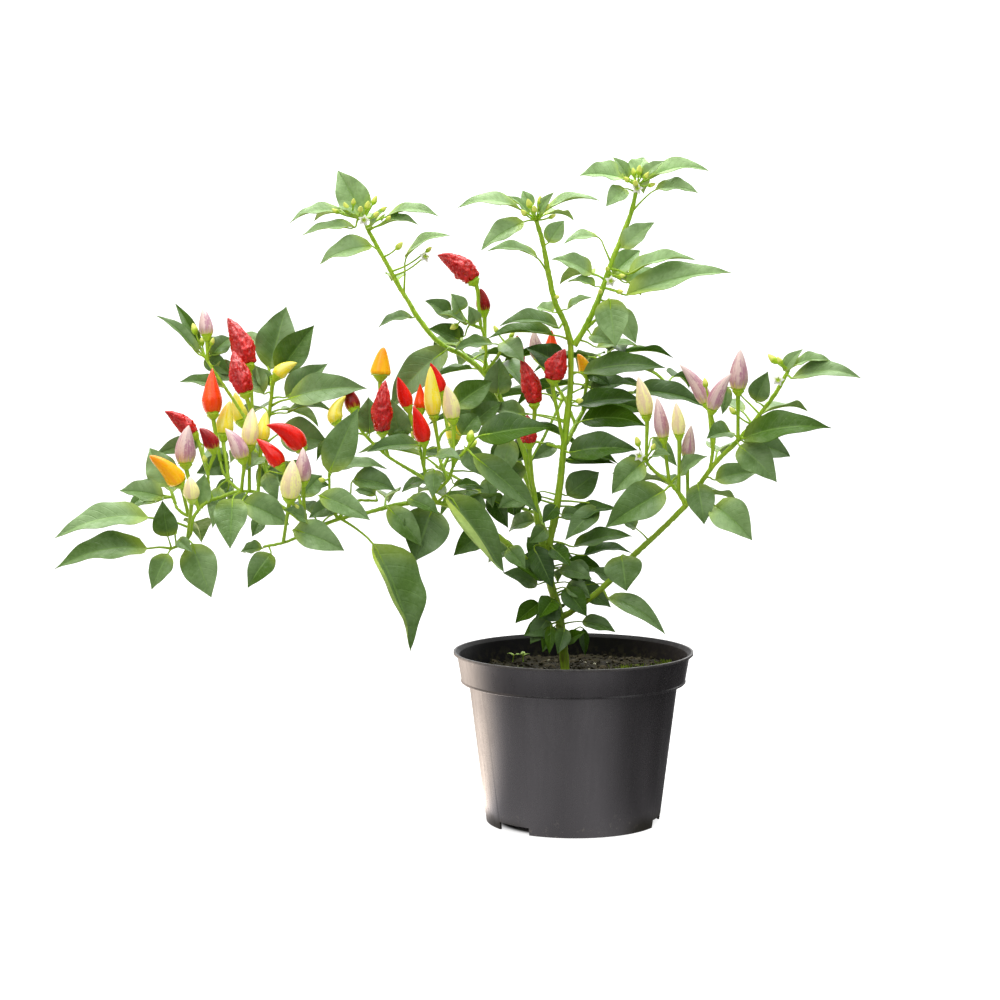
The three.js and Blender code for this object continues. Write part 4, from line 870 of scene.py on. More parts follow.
def leaf_master():
    """A flat leaf blade whose rows follow its side veins, with the panels between them puffed."""
    start_fresh()
    bpy.ops.mesh.primitive_grid_add(
        x_subdivisions=LEAF_COLUMNS, y_subdivisions=LEAF_ROWS, size=2, calc_uvs=True)
    blade = named("leaf_master")
    for vertex in blade.data.vertices:
        across, row = vertex.co.x, 0.5 + 0.5 * vertex.co.y
        left = 1 - row
        slant = VEIN_SLANT * abs(across) ** 1.3 * (left - left ** 4)
        t = min(row + slant, 1)
        puff = 0.5 - 0.5 * math.cos(math.tau * SIDE_VEINS * row)
        edge = math.sin(math.pi * min(abs(across), 1))
        vertex.co = (across * leaf_outline(t), t, puff * edge)
    return blade


def turned_master(name, sides, rings, radius_at):
    """A round closed body one unit long on +Z. radius_at(t, angle) shapes it."""
    start_fresh()
    bpy.ops.mesh.primitive_uv_sphere_add(
        segments=sides, ring_count=rings, radius=1, calc_uvs=True)
    body = named(name)
    for vertex in body.data.vertices:
        x, y, z = vertex.co
        t = 0.5 + 0.5 * z
        flat = math.hypot(x, y)
        share_left = radius_at(t, math.atan2(y, x)) / flat if flat > CLOSE else 0
        vertex.co = (x * share_left, y * share_left, t)
    return body


def bud_radius(t, angle):
    """A pointed bud's radius, with a toothed calyx that holds its lower half."""
    teeth = 0.04 * math.cos(TEETH * angle) if t < 0.55 else 0
    round_share = math.sin(math.pi * t ** 0.9) ** 0.7 if 0 < t < 1 else 0
    return (0.42 + (0.05 if t < 0.5 + teeth else 0)) * round_share


def pod_radius(t, shape):
    """A pod's radius over its fullest at t from its base to its tip."""
    fullest, taper, point = shape
    if t < fullest:
        shoulder = min(t / 0.05, 1) ** 0.5
        return shoulder * (0.62 + 0.38 * math.sin(0.5 * math.pi * t / fullest))
    past = (t - fullest) / (1 - fullest)
    return max(1 - past ** taper, 0) ** point


def calyx_master():
    """A cup with five teeth: a ring drawn up in steps. +Z counts the steps."""
    start_fresh()
    bpy.ops.mesh.primitive_circle_add(vertices=20, radius=1, fill_type="NOTHING")
    cup = named("calyx_master")
    edit_all(cup)
    for _ in range(CALYX_STEPS):
        bpy.ops.mesh.extrude_region_move(TRANSFORM_OT_translate={"value": (0, 0, 1)})
    faced_outwards()
    return cup


def petal_master():
    """One petal on +Y, pointed, a little hollow, its edges rolled back."""
    start_fresh()
    bpy.ops.mesh.primitive_grid_add(x_subdivisions=6, y_subdivisions=8, size=2, calc_uvs=True)
    petal = named("petal_master")
    for vertex in petal.data.vertices:
        across, t = vertex.co.x, 0.5 + 0.5 * vertex.co.y
        half = 0.3 * math.sin(math.pi * (0.16 + 0.84 * t) ** 0.8) + 0.06 * (1 - t)
        dip = 0.22 * t * t - 0.1 * across * across * half
        vertex.co = (across * half, t, -dip)
    return petal


def clod_master():
    """A small lump, to be squashed and turned."""
    start_fresh()
    bpy.ops.mesh.primitive_ico_sphere_add(subdivisions=1, radius=1)
    clod = named("clod_master")
    for vertex in clod.data.vertices:
        vertex.co *= 1 + 0.25 * noise.noise(vertex.co * 2.1)
    return clod


# ---------------------------------------------------------------- finishes


class Signal:
    """What a socket gives out over a surface. Arithmetic on it adds nodes to its recipe."""

    def __init__(self, recipe, socket):
        self.recipe = recipe
        self.socket = socket

    def __add__(self, other):
        return self.recipe.maths("ADD", self, other)

    def __sub__(self, other):
        return self.recipe.maths("SUBTRACT", self, other)

    def __rsub__(self, other):
        return self.recipe.maths("SUBTRACT", other, self)

    def __mul__(self, other):
        return self.recipe.maths("MULTIPLY", self, other)

    def __abs__(self):
        return self.recipe.maths("ABSOLUTE", self)

    def spread(self, low, high, to_low=0.0, to_high=1.0):
        """The same carried smoothly from one range to another, and held at its ends."""
        inputs = {"Value": self, "From Min": low, "From Max": high, "To Min": to_low,
                  "To Max": to_high}
        return self.recipe.value("ShaderNodeMapRange", inputs, interpolation_type="SMOOTHSTEP")

    def parts(self):
        """Its x, y and z."""
        return self.recipe.values("ShaderNodeSeparateXYZ", {0: self})


class Recipe:
    """A material's node tree, built up by short calls."""

    def __init__(self, name, tree=None):
        self.material = None
        if tree is None:
            self.material = bpy.data.materials.new(name)
            self.material.use_nodes = True
            tree = self.material.node_tree
        self.nodes = tree.nodes
        self.links = tree.links
        self.shader = self.nodes.get("Principled BSDF")

    def feed(self, socket, value):
        """Links a socket to a signal, or sets its number or colour."""
        if isinstance(value, Signal):
            self.links.new(value.socket, socket)
        elif socket.type == "RGBA":
            socket.default_value = (*value, 1.0)
        else:
            socket.default_value = value

    def add(self, kind, inputs=None, **settings):
        """A node with its settings and with each named input fed."""
        node = self.nodes.new(kind)
        for key, value in settings.items():
            setattr(node, key, value)
        for key, value in (inputs or {}).items():
            self.feed(node.inputs[key], value)
        return node

    def values(self, kind, inputs=None, **settings):
        """All that a new node gives out."""
        return [Signal(self, output) for output in self.add(kind, inputs, **settings).outputs]

    def value(self, kind, inputs=None, output=0, **settings):
        """One thing that a new node gives out."""
        return Signal(self, self.add(kind, inputs, **settings).outputs[output])

    def maths(self, operation, a, b=0.0):
        """One step of arithmetic."""
        return self.value("ShaderNodeMath", {0: a, 1: b}, operation=operation)

    def mixed(self, share, a, b):
        """Two colours mixed by a share."""
        return self.value("ShaderNodeMix", {0: share, 6: a, 7: b}, 2, data_type="RGBA")

    def between(self, share, a, b):
        """Two numbers mixed by a share."""
        return self.value("ShaderNodeMix", {0: share, 2: a, 3: b})

    def grain(self, vector, scale, detail=3.0, stretch=None):
        """Soft noise on a vector, which may be stretched first."""
        if stretch:
            vector = self.value("ShaderNodeMapping", {"Vector": vector, "Scale": stretch})
        inputs = {"Vector": vector, "Scale": scale, "Detail": detail, "Roughness": 0.55}
        return self.value("ShaderNodeTexNoise", inputs)

    def place(self):
        """Where a point lies in the frame."""
        return self.value("ShaderNodeTexCoord", output="Object")

    def strip(self):
        """Where a point lies on its own piece: across and along."""
        return self.value("ShaderNodeTexCoord", output="UV").parts()[:2]

    def noted(self, key):
        """A number that was written on the piece's points."""
        return self.value("ShaderNodeAttribute", output="Fac", attribute_name=key)

    def use(self, group, **inputs):
        """All that a shared group gives out."""
        return self.values("ShaderNodeGroup", inputs, node_tree=group)

    def patches(self, broad, fine):
        """The shared mottle at a piece's place in the frame."""
        return self.use(mottle(), Place=self.place(), Broad=broad, Fine=fine)[0]

    def bump(self, height, strength, distance):
        """Relief too fine to model."""
        inputs = {"Height": height, "Strength": strength, "Distance": distance}
        self.set(Normal=self.value("ShaderNodeBump", inputs))

    def set(self, **values):
        """Sets or feeds the shader's own sockets."""
        for key, value in values.items():
            self.feed(self.shader.inputs[key.replace("_", " ")], value)


FLOAT = "NodeSocketFloat"
VECTOR = "NodeSocketVector"


def effect(name, ins, outs, build):
    """A shared node group. ins has its inputs' types, and build() makes outputs of them."""
    group = bpy.data.node_groups.get(name)
    if group:
        return group
    group = bpy.data.node_groups.new(name, "ShaderNodeTree")
    for label, kind in ins.items():
        group.interface.new_socket(label, in_out="INPUT", socket_type=kind)
    for label in outs:
        group.interface.new_socket(label, in_out="OUTPUT", socket_type=FLOAT)
    recipe = Recipe(name, group)
    start = recipe.values("NodeGroupInput")
    recipe.add("NodeGroupOutput", dict(zip(outs, build(recipe, *start[:len(ins)]))))
    return group


def mottle():
    """Broad and fine patches at a place, from 0 to 1: growth, dust and wear are never even."""
    def build(recipe, place, broad, fine):
        both = recipe.grain(place, broad, 2.0) * 0.6 + recipe.grain(place, fine, 4.0) * 0.4
        return [both.spread(0.32, 0.68)]

    return effect("Mottle", {"Place": VECTOR, "Broad": FLOAT, "Fine": FLOAT}, ["Patches"], build)


def leaf_veins():
    """A leaf's midrib, side veins and fine net, from across and along its blade."""
    def build(recipe, across, along):
        off_rib = abs(across - 0.5)
        nearest = recipe.maths("PINGPONG", along * float(SIDE_VEINS), 0.5)
        flat = recipe.value("ShaderNodeCombineXYZ", {0: across * 0.5, 1: along})
        cells = recipe.value("ShaderNodeTexVoronoi", {"Vector": flat, "Scale": 34.0}, "Distance",
                             feature="DISTANCE_TO_EDGE")
        return [
            off_rib.spread(0.012, 0.04, 1.0, 0.0),
            nearest.spread(0.02, 0.1, 1.0, 0.0) * off_rib.spread(0.3, 0.47, 1.0, 0.0),
            cells.spread(0.0, 0.12, 1.0, 0.0),
        ]

    return effect("Leaf veins", {"Across": FLOAT, "Along": FLOAT},
                  ["Rib", "Side veins", "Net"], build)


def ripening():
    """A pod's streaks, how ripe it is and how it blushes, from around and along it."""
    def build(recipe, around, along, uneven):
        flat = recipe.value("ShaderNodeCombineXYZ", {0: around, 1: along, 2: uneven})
        streaks = recipe.grain(flat, 1.0, 3.0, (26, 2.2, 0.5))
        cheeks = recipe.grain(flat, 1.0, 3.0, (6, 1.7, 0.8))
        ripe = (streaks - 0.5) * 0.55 + along
        blush = (cheeks * 0.6 + streaks * 0.4).spread(0.42, 0.6)
        return [streaks, ripe.spread(0.04, 0.34), ripe.spread(0.45, 0.95), blush]

    return effect("Ripening", {"Around": FLOAT, "Along": FLOAT, "Uneven": FLOAT},
                  ["Streaks", "Body", "Tip", "Blush"], build)


def leaf_face(foliage, upper):
    """A leaf's glossy upper face, or its paler lower face, where the veins stand out."""
    if upper:
        recipe = Recipe("Leaf upper face")
        young, old = foliage.young, foliage.old
        rib_pale, side_pale, relief, smoothest, roughest = 0.34, 0.08, -1.0, 0.34, 0.46
    else:
        recipe = Recipe("Leaf lower face")
        young, old = foliage.under_young, foliage.under_old
        rib_pale, side_pale, relief, smoothest, roughest = 0.6, 0.35, 1.0, 0.6, 0.75
    across, along = recipe.strip()
    rib, side, net = recipe.use(leaf_veins(), Across=across, Along=along)
    age_and_light = recipe.noted("age_and_light")
    spots = recipe.patches(60.0, 420.0)
    # painted shade: darker, more saturated green where the leaf is marked as shaded, with less
    # sheen there
    lush_and_shade = recipe.noted("lush_and_shade") * 0.85 + spots * 0.35
    fresh = along.spread(0.0, 0.24, 0.6, 0.0) * (1.0 - age_and_light)
    pale = recipe.maths("MAXIMUM", rib * rib_pale, side * side_pale) + net * 0.06
    body = recipe.mixed(lush_and_shade, recipe.mixed(age_and_light, young, old), foliage.lush_and_shade)
    body = recipe.mixed(fresh, body, foliage.stem_pale)
    recipe.set(
        Base_Color=recipe.mixed(pale, body, foliage.vein),
        Roughness=spots.spread(0.0, 1.0, smoothest, roughest),
        Specular_IOR_Level=lush_and_shade.spread(0.15, 0.85, 0.42, 0.06))
    lines = recipe.maths("MAXIMUM", rib, net * 0.2 + side)
    recipe.bump(recipe.grain(recipe.place(), 1400.0, 4.0) * 0.7 + lines * relief, 0.5, 0.25 * MM)
    return recipe.material


def stem_skin(foliage):
    """Green bark: fine lengthwise lines, yellow patches, brown at the foot of the trunk."""
    recipe = Recipe("Stem skin")
    place = recipe.place()
    height = place.parts()[2]
    lines = recipe.grain(place, 900.0, 2.0, (1, 1, 0.12))
    spots = recipe.patches(45.0, 300.0)
    green = recipe.mixed(lines.spread(0.35, 0.7), foliage.stem, foliage.stem_line)
    green = recipe.mixed(spots * 0.3, green, foliage.stem_pale)
    woody = height.spread(0.09, 0.24, 1.0, 0.0) * lines.spread(0.3, 0.75, 0.2, 0.85)
    recipe.set(
        Base_Color=recipe.mixed(woody, green, foliage.stem_woody),
        Roughness=spots.spread(0.0, 1.0, 0.4, 0.58))
    recipe.bump(lines, 0.6, 0.3 * MM)
    return recipe.material


def pod_skin(kind, shades, blush, gloss):
    """A pod's waxy skin, from its base colour through its body to its tip, with a blush. On a
    wrinkled pod the blush colour also paints shade into the hollows of its folds.
    """
    recipe = Recipe(f"Pod skin, {kind}")
    base, body, tip, tinge = shades
    around, along = recipe.strip()
    spots = recipe.patches(110.0, 700.0)
    streaks, to_body, to_tip, flush = recipe.use(
        ripening(), Around=around, Along=along, Uneven=spots)
    skin = recipe.mixed(to_tip, recipe.mixed(to_body, base, body), tip)
    skin = recipe.mixed(flush * blush, skin, tinge)
    recipe.set(
        Roughness=spots.spread(0.0, 1.0, gloss, gloss + 0.12),
        Specular_IOR_Level=0.3,
        Coat_Weight=0.1,
        Coat_Roughness=0.06)
    if kind == "wrinkled":
        place = recipe.place()
        cells = recipe.value("ShaderNodeTexVoronoi", {"Vector": place, "Scale": 320.0}, "Distance",
                             feature="SMOOTH_F1")
        folds = recipe.grain(place, 420.0, 3.0) * 0.8 + cells
        # painted shade: the hollows between the folds are painted towards the dark blush colour
        skin = recipe.mixed(folds.spread(0.5, 0.85, 0.6, 0.0), skin, tinge)
        recipe.set(Specular_IOR_Level=0.55)
        recipe.bump(folds, 1.0, 1.2 * MM)
    else:
        recipe.bump(spots * 0.5 + streaks, 0.15, 0.15 * MM)
    recipe.set(Base_Color=skin)
    return recipe.material


def bud_skin(foliage):
    """A bud: green where the calyx holds it, pale yellow at its closed petals."""
    recipe = Recipe("Bud skin")
    along = recipe.strip()[1]
    spots = recipe.patches(200.0, 1500.0)
    opened = (spots * 0.1 + along).spread(0.45, 0.62)
    recipe.set(
        Base_Color=recipe.mixed(opened, foliage.bud, foliage.bud_tip),
        Roughness=spots.spread(0.0, 1.0, 0.42, 0.55))
    recipe.bump(recipe.grain(recipe.place(), 2400.0), 0.2, 0.15 * MM)
    return recipe.material


def petal_skin(foliage):
    """White petals with faint lengthwise veins, green in the throat."""
    recipe = Recipe("Petal")
    across, along = recipe.strip()
    stripes = recipe.maths("PINGPONG", across * 7.0, 0.5)
    white = recipe.mixed(stripes.spread(0.0, 0.2, 0.25, 0.0), foliage.petal, foliage.vein)
    recipe.set(
        Base_Color=recipe.mixed(along.spread(0.05, 0.35, 1.0, 0.0), white, foliage.bud),
        Roughness=stripes.spread(0.0, 0.5, 0.5, 0.62))
    recipe.bump(stripes, 0.2, 0.1 * MM)
    return recipe.material


def anther_skin(foliage):
    """Dusty pollen sacs."""
    recipe = Recipe("Anther")
    spots = recipe.patches(900.0, 3000.0)
    recipe.set(
        Base_Color=recipe.mixed(spots, foliage.anther, foliage.bud_tip),
        Roughness=spots.spread(0.0, 1.0, 0.7, 0.85))
    recipe.bump(spots, 0.3, 0.1 * MM)
    return recipe.material


def pot_plastic(pot):
    """Thin moulded plastic: upright flow lines, a worn lip, splashes near the foot, and darker,
    browner and duller low down at the left and right.
    """
    recipe = Recipe("Pot plastic")
    place = recipe.place()
    x, _, height = place.parts()
    flow = recipe.grain(place, 95.0, 3.0, (1, 1, 0.05))
    fine_flow = recipe.grain(place, 420.0, 2.0, (1, 1, 0.03))
    spots = recipe.patches(30.0, 500.0)
    dust = recipe.grain(place, 330.0, 5.0).spread(0.58, 0.72)
    dust *= height.spread(4 * MM, 16 * MM, 1.0, 0.0)
    lip = recipe.grain(place, 220.0, 4.0).spread(0.3, 0.62, 0.25, 0.8)
    lip *= height.spread(98 * MM, 99.8 * MM)
    # darker, browner and duller towards the foot, most at the left and right
    uneven = recipe.grain(place, 40.0, 4.0) * (9 * MM)
    dark_brown = (height - uneven).spread(-4 * MM, 7 * MM, 1.0, 0.0)
    dark_brown *= abs(x).spread(22 * MM, 40 * MM, 0.08, 1.0)
    plastic = recipe.mixed(flow.spread(0.3, 0.7), pot.colour, pot.streak)
    for share, stain in ((dust * 0.5, pot.dust), (lip * 0.2, pot.dust), (dark_brown * 0.7, pot.dark_brown)):
        plastic = recipe.mixed(share, plastic, stain)
    rough = fine_flow.spread(0.3, 0.7) * 0.08 + spots.spread(0.0, 1.0, 0.2, 0.3)
    rough += recipe.maths("MAXIMUM", dust, lip) * 0.3 + dark_brown * 0.3
    shine = dark_brown.spread(0.0, 1.0, 0.75, 0.2)
    recipe.set(Base_Color=plastic, Roughness=rough, Specular_IOR_Level=shine)
    recipe.bump(fine_flow * 1.5 + spots, 0.06, 0.2 * MM)
    return recipe.material


def pot_inside(pot):
    """The inner wall: the same plastic, dulled by watering and painted darker than outside as
    painted shade, with splashed peat low down.
    """
    recipe = Recipe("Pot inside")
    place = recipe.place()
    height = place.parts()[2]
    spots = recipe.patches(60.0, 600.0)
    peat = recipe.grain(place, 300.0).spread(0.48, 0.6) * height.spread(86 * MM, 96 * MM, 0.9, 0.1)
    recipe.set(
        Base_Color=recipe.mixed(peat, pot.inside, pot.dark_brown),
        Roughness=spots.spread(0.0, 1.0, 0.42, 0.58),
        Specular_IOR_Level=0.12)
    recipe.bump(peat * 0.6 + spots, 0.2, 0.2 * MM)
    return recipe.material


def earth(name, dark, pale, broad, fine, depth):
    """Loose dull matter: potting mix, crumbs, bark, perlite or moss."""
    recipe = Recipe(name)
    spots = recipe.patches(broad, fine)
    recipe.set(
        Base_Color=recipe.mixed(spots, dark, pale),
        Roughness=spots.spread(0.0, 1.0, 0.82, 0.98),
        Specular_IOR_Level=0.25)
    recipe.bump(recipe.grain(recipe.place(), 2.0 * fine, 4.0), 0.8, depth * MM)
    return recipe.material


def ground(stage):
    """A pale studio floor with the faintest mottling. To glossy rays alone it is black and glows
    with a painted room, a warm sunlit patch on the left and dim on the right: a painted reflection
    for the pot to mirror.
    """
    recipe = Recipe("Studio floor")
    spots = recipe.patches(2.0, 25.0)
    floor = recipe.mixed(spots, stage.floor, [0.94 * part for part in stage.floor])
    flat = recipe.value("ShaderNodeVectorMath", {0: recipe.place(), 1: (1, 1, 0)},
                        operation="MULTIPLY")
    radius = recipe.value("ShaderNodeVectorMath", {0: flat}, "Value", operation="LENGTH")
    x, y, _ = recipe.value("ShaderNodeVectorMath", {0: flat}, operation="NORMALIZE").parts()
    # painted reflection: what follows lights the floor for glossy rays alone, brightest in a warm
    # sunlit patch to the left
    painted_sun = y.spread(-0.37, 0.45)
    left = (painted_sun * stage.painted_sunlit + 0.85) * y.spread(0.5, 1.0, 1.0, 0.22)
    right = y.spread(-0.98, -0.5, 0.85, 0.22) * y.spread(-0.4, 0.2, 1.0, 0.35)
    right += y.spread(0.8, 0.95, 0.0, 0.7)
    side = x.spread(-0.15, 0.15)
    warm = painted_sun * (1.0 - side)
    faded = recipe.between(warm, radius.spread(0.12, 0.26, 1.35, 0.45), 1.1)
    ripples = recipe.maths("COSINE", x * 7.57 - 1.82) * 0.12 + 1.0
    mirrored = recipe.value("ShaderNodeLightPath", output="Is Glossy Ray")
    seen = recipe.value("ShaderNodeLightPath", output="Is Camera Ray")
    glow = recipe.between(side, left, right) * faded * ripples * mirrored + seen * stage.glow
    under = radius.spread(stage.foot - 6 * MM, stage.foot + 1 * MM)
    cool = recipe.mixed(mirrored, stage.backdrop, stage.cool)
    recipe.set(
        Base_Color=recipe.mixed(mirrored, floor, (0, 0, 0)),
        Roughness=spots.spread(0.0, 1.0, 0.7, 0.8),
        Specular_IOR_Level=0.1,
        Emission_Color=recipe.mixed(warm * mirrored, cool, stage.warm),
        Emission_Strength=glow * under)
    recipe.bump(spots, 0.03, 0.2 * MM)
    return recipe.material
# ---------------------------------------------------------------- settings


def setting(kind, **limits):
    """A short way to declare a setting of one kind: its name, description and default."""
    def declare(name, description, default):
        return kind(name=name, description=description, default=default, **limits)

    return declare


length = setting(
    bpy.props.FloatProperty, min=0, precision=4, subtype="DISTANCE", unit="LENGTH")
shade = setting(bpy.props.FloatVectorProperty, size=3, min=0, max=1, subtype="COLOR")
share = setting(bpy.props.FloatProperty, min=0, max=1, subtype="FACTOR")
amount = setting(bpy.props.IntProperty, min=0)
strength = setting(bpy.props.FloatProperty, min=0)
watts = setting(bpy.props.FloatProperty, min=0, unit="POWER")


class PotSettings(bpy.types.PropertyGroup):
    """The nursery pot."""

    height: length("Height", "From the foot to the lip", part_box("pot")[1].z)
    lip_radius: length("Lip radius", "Outside the lip", 70 * MM)
    base_radius: length("Base radius", "Outside the foot ring", 50.8 * MM)
    top_radius: length("Body top radius", "Where the body meets the band", 61 * MM)
    band_height: length("Band height", "Underside of the band", 82 * MM)
    band_radius: length("Band radius", "Band at its lower edge", 65.2 * MM)
    band_top_radius: length("Band top radius", "Band at the lip", 68 * MM)
    wall: length("Wall", "Thickness of wall and floor", 1.4 * MM)
    floor_height: length("Floor height", "Underside of the floor", 4.8 * MM)
    colour: shade("Colour", "Plastic", (0.013, 0.0115, 0.0128))
    streak: shade("Streak colour", "Plastic along its flow lines", (0.02, 0.018, 0.0198))
    dust: shade("Dust colour", "Splashes at the foot and wear on the lip", (0.24, 0.22, 0.19))
    # a dark brown: splashed peat inside, and the darkening towards the foot at the left and right
    dark_brown: shade("Grime colour", "Peat dried on at the foot and inside", (0.03, 0.027, 0.014))
    # painted shade: the inner plastic is painted darker than the outer
    inside: shade("Inner colour", "Plastic inside the pot", (0.006, 0.0052, 0.0062))


class SoilSettings(bpy.types.PropertyGroup):
    """The potting mix and what grows on it."""

    height: length("Height", "Level of the potting mix", 87.6 * MM)
    relief: length("Relief", "Height of its bumps", 1.8 * MM)
    crumbs: amount("Crumbs", "Loose crumbs of peat", 1000)
    chips: amount("Bark chips", "Loose chips of bark", 110)
    perlite: amount("Perlite", "White grains", 34)
    moss: amount("Moss leaves", "Leaves of moss", 1500)
    sprouts: amount("Sprouts", "Seedlings in the mix", 3)
    dark: shade("Dark", "Wet peat", (0.009, 0.007, 0.003))
    pale: shade("Pale", "Dry peat", (0.034, 0.028, 0.01))
    bark: shade("Bark", "Chips of bark", (0.06, 0.048, 0.025))
    white: shade("White", "Perlite", (0.6, 0.58, 0.45))
    moss_dark: shade("Moss shade", "Moss low down", (0.03, 0.06, 0.006))
    moss_pale: shade("Moss tip", "Moss at its tips", (0.24, 0.33, 0.02))


class FoliageSettings(bpy.types.PropertyGroup):
    """Leaves, stems, buds and flowers."""

    blade: length("Blade", "Thickness of a leaf blade", 0.35 * MM)
    wave: share("Wave", "Ripple of a blade's margin over its half width", 0.1)
    # painted light and shade: the young colour is painted pale, as if lit from above, and the old
    # one dark, as if shaded
    young: shade("Young leaf", "Upper face of fresh leaves", (0.41, 0.62, 0.26))
    old: shade("Old leaf", "Upper face of old leaves", (0.026, 0.074, 0.012))
    under_young: shade("Young underside", "Lower face of fresh leaves", (0.44, 0.6, 0.16))
    under_old: shade("Old underside", "Lower face of old leaves", (0.08, 0.22, 0.012))
    # painted shade: this darker, more saturated green stands in for leaves in the shade of others
    # and for leaf halves turned from the sky
    lush_and_shade: shade("Lush leaf", "What leaves in each other's light turn to", (0.045, 0.11, 0.002))
    vein: shade("Vein", "Ribs and veins", (0.26, 0.45, 0.1))
    stem: shade("Stem", "Green stems", (0.22, 0.43, 0.006))
    stem_line: shade("Stem lines", "Fine lines along a stem", (0.38, 0.6, 0.015))
    stem_pale: shade("Stem patches", "Yellow patches on a stem", (0.52, 0.66, 0.03))
    stem_woody: shade("Woody stem", "Bark low on the trunk", (0.1, 0.13, 0.015))
    bud: shade("Bud", "A bud's calyx", (0.4, 0.62, 0.012))
    bud_tip: shade("Bud tip", "Closed petals", (0.78, 0.84, 0.16))
    petal: shade("Petal", "Open petals", (0.86, 0.88, 0.8))
    anther: shade("Anther", "Pollen sacs", (0.3, 0.28, 0.3))


# Each kind of pod: a colour for each of its parts, how much of it blushes, and its roughness. A
# wrinkled pod's blush colour is also its painted shade in the folds.
POD_PARTS = ("base", "body", "tip", "blush")
PODS = {
    "wrinkled": (
        (0.66, 0.012, 0.004), (0.72, 0.007, 0.004), (0.66, 0.006, 0.003), (0.36, 0.002, 0.001),
        0.6, 0.15),
    "dark": (
        (0.7, 0.55, 0.04), (0.34, 0.006, 0.006), (0.32, 0.005, 0.006), (0.16, 0.003, 0.004),
        0.5, 0.2),
    "red": (
        (0.86, 0.04, 0.003), (0.85, 0.01, 0.002), (0.74, 0.007, 0.002), (0.5, 0.003, 0.001),
        0.5, 0.18),
    "scarlet": (
        (0.92, 0.12, 0.003), (0.9, 0.05, 0.003), (0.8, 0.02, 0.003), (0.95, 0.14, 0.003),
        0.4, 0.18),
    "orange": (
        (1.0, 0.72, 0.02), (1.0, 0.5, 0.003), (0.95, 0.27, 0.002), (0.96, 0.3, 0.002),
        0.5, 0.2),
    "yellow": (
        (0.94, 0.9, 0.05), (0.99, 0.82, 0.015), (0.99, 0.84, 0.06), (0.98, 0.95, 0.4),
        0.5, 0.2),
    "cream": (
        (0.84, 0.88, 0.08), (0.95, 0.91, 0.34), (0.9, 0.78, 0.5), (0.66, 0.38, 0.42),
        0.5, 0.2),
    "lilac": (
        (0.86, 0.86, 0.16), (0.44, 0.2, 0.27), (0.76, 0.6, 0.58), (0.82, 0.66, 0.56),
        0.65, 0.2),
}


class PodSettings(bpy.types.PropertyGroup):
    """The pods, by kind."""

    crumple: share("Crumple", "Depth of a drying pod's wrinkles over its radius", 0.25)
    __annotations__ |= {
        f"{kind}_{part}": shade(f"{kind.title()} {part}", f"A {kind} pod at its {part}", value)
        for kind, shades in PODS.items()
        for part, value in zip(POD_PARTS, shades)
    }


class StageSettings(bpy.types.PropertyGroup):
    """The studio."""

    floor: shade("Floor", "Studio floor", (0.4, 0.4, 0.39))
    backdrop: shade("Backdrop", "What lies behind the floor", (1.0, 1.0, 1.0))
    foot: length("Foot", "Radius of what stands on the floor", 48 * MM)
    glow: share("Glow", "How much the floor is lit from below", 0.8)
    shade: share("Shade", "Light from the dark side of the room", 0.13)
    window: strength("Window", "Light from the wall behind, and less from the left", 1.5)
    sky: strength("Sky", "Light from overhead", 2.0)
    # painted reflection: these light and tint the floor's glow that only glossy rays see
    painted_sunlit: strength("Sunlit floor", "What the pot mirrors on its left", 3.2)
    cool: shade("Cool light", "Tint of what the pot mirrors in front", (1.0, 0.95, 1.0))
    warm: shade("Warm light", "Tint of the light from the left", (1.0, 0.84, 0.73))
    key: watts("Key light", "Large soft light from the front left", 6.5)
    fill: watts("Fill light", "Soft light from the right", 1.5)
    overhead: watts("Top light", "Soft light from above", 16.0)


# ---------------------------------------------------------------- pieces

PAD_RADIUS = 9 * MM
BEAD = 0.5 * MM  # how far the band's lower edge stands out
FOOT_GAPS = (-134, -14, 106)  # degrees
FOOT_GAP = Vector((16, 23, 8.8)) * MM
DRAINS = 4
DRAIN_RADIUS = 4 * MM
DRAINS_OUT = 33 * MM
SHARP = math.radians(28)
MIX_GAP = 0.15 * MM  # between the potting mix and the pot
MOUND = 1.5 * MM  # how high the mix is heaped round the trunk
MOUND_SPREAD = 26 * MM
FALL = 0.022  # how the mix rises to the right
HOLLOW = 16 * MM  # across the hollows in the mix
SHOOT_RADIUS = 0.5 * MM  # of the stalk of a bud or flower
SAC_LENGTH, SAC_GIRTH = 1.8 * MM, 0.8 * MM
THIN = 0.25 * MM  # petals, seed leaves and calyxes
PETALS = 5
UP = Vector((0, 0, 1))
BACK = Vector((0, 1, 0))


def around(radius, turn):
    """The x and y of a place on a circle."""
    return radius * math.cos(turn), radius * math.sin(turn)


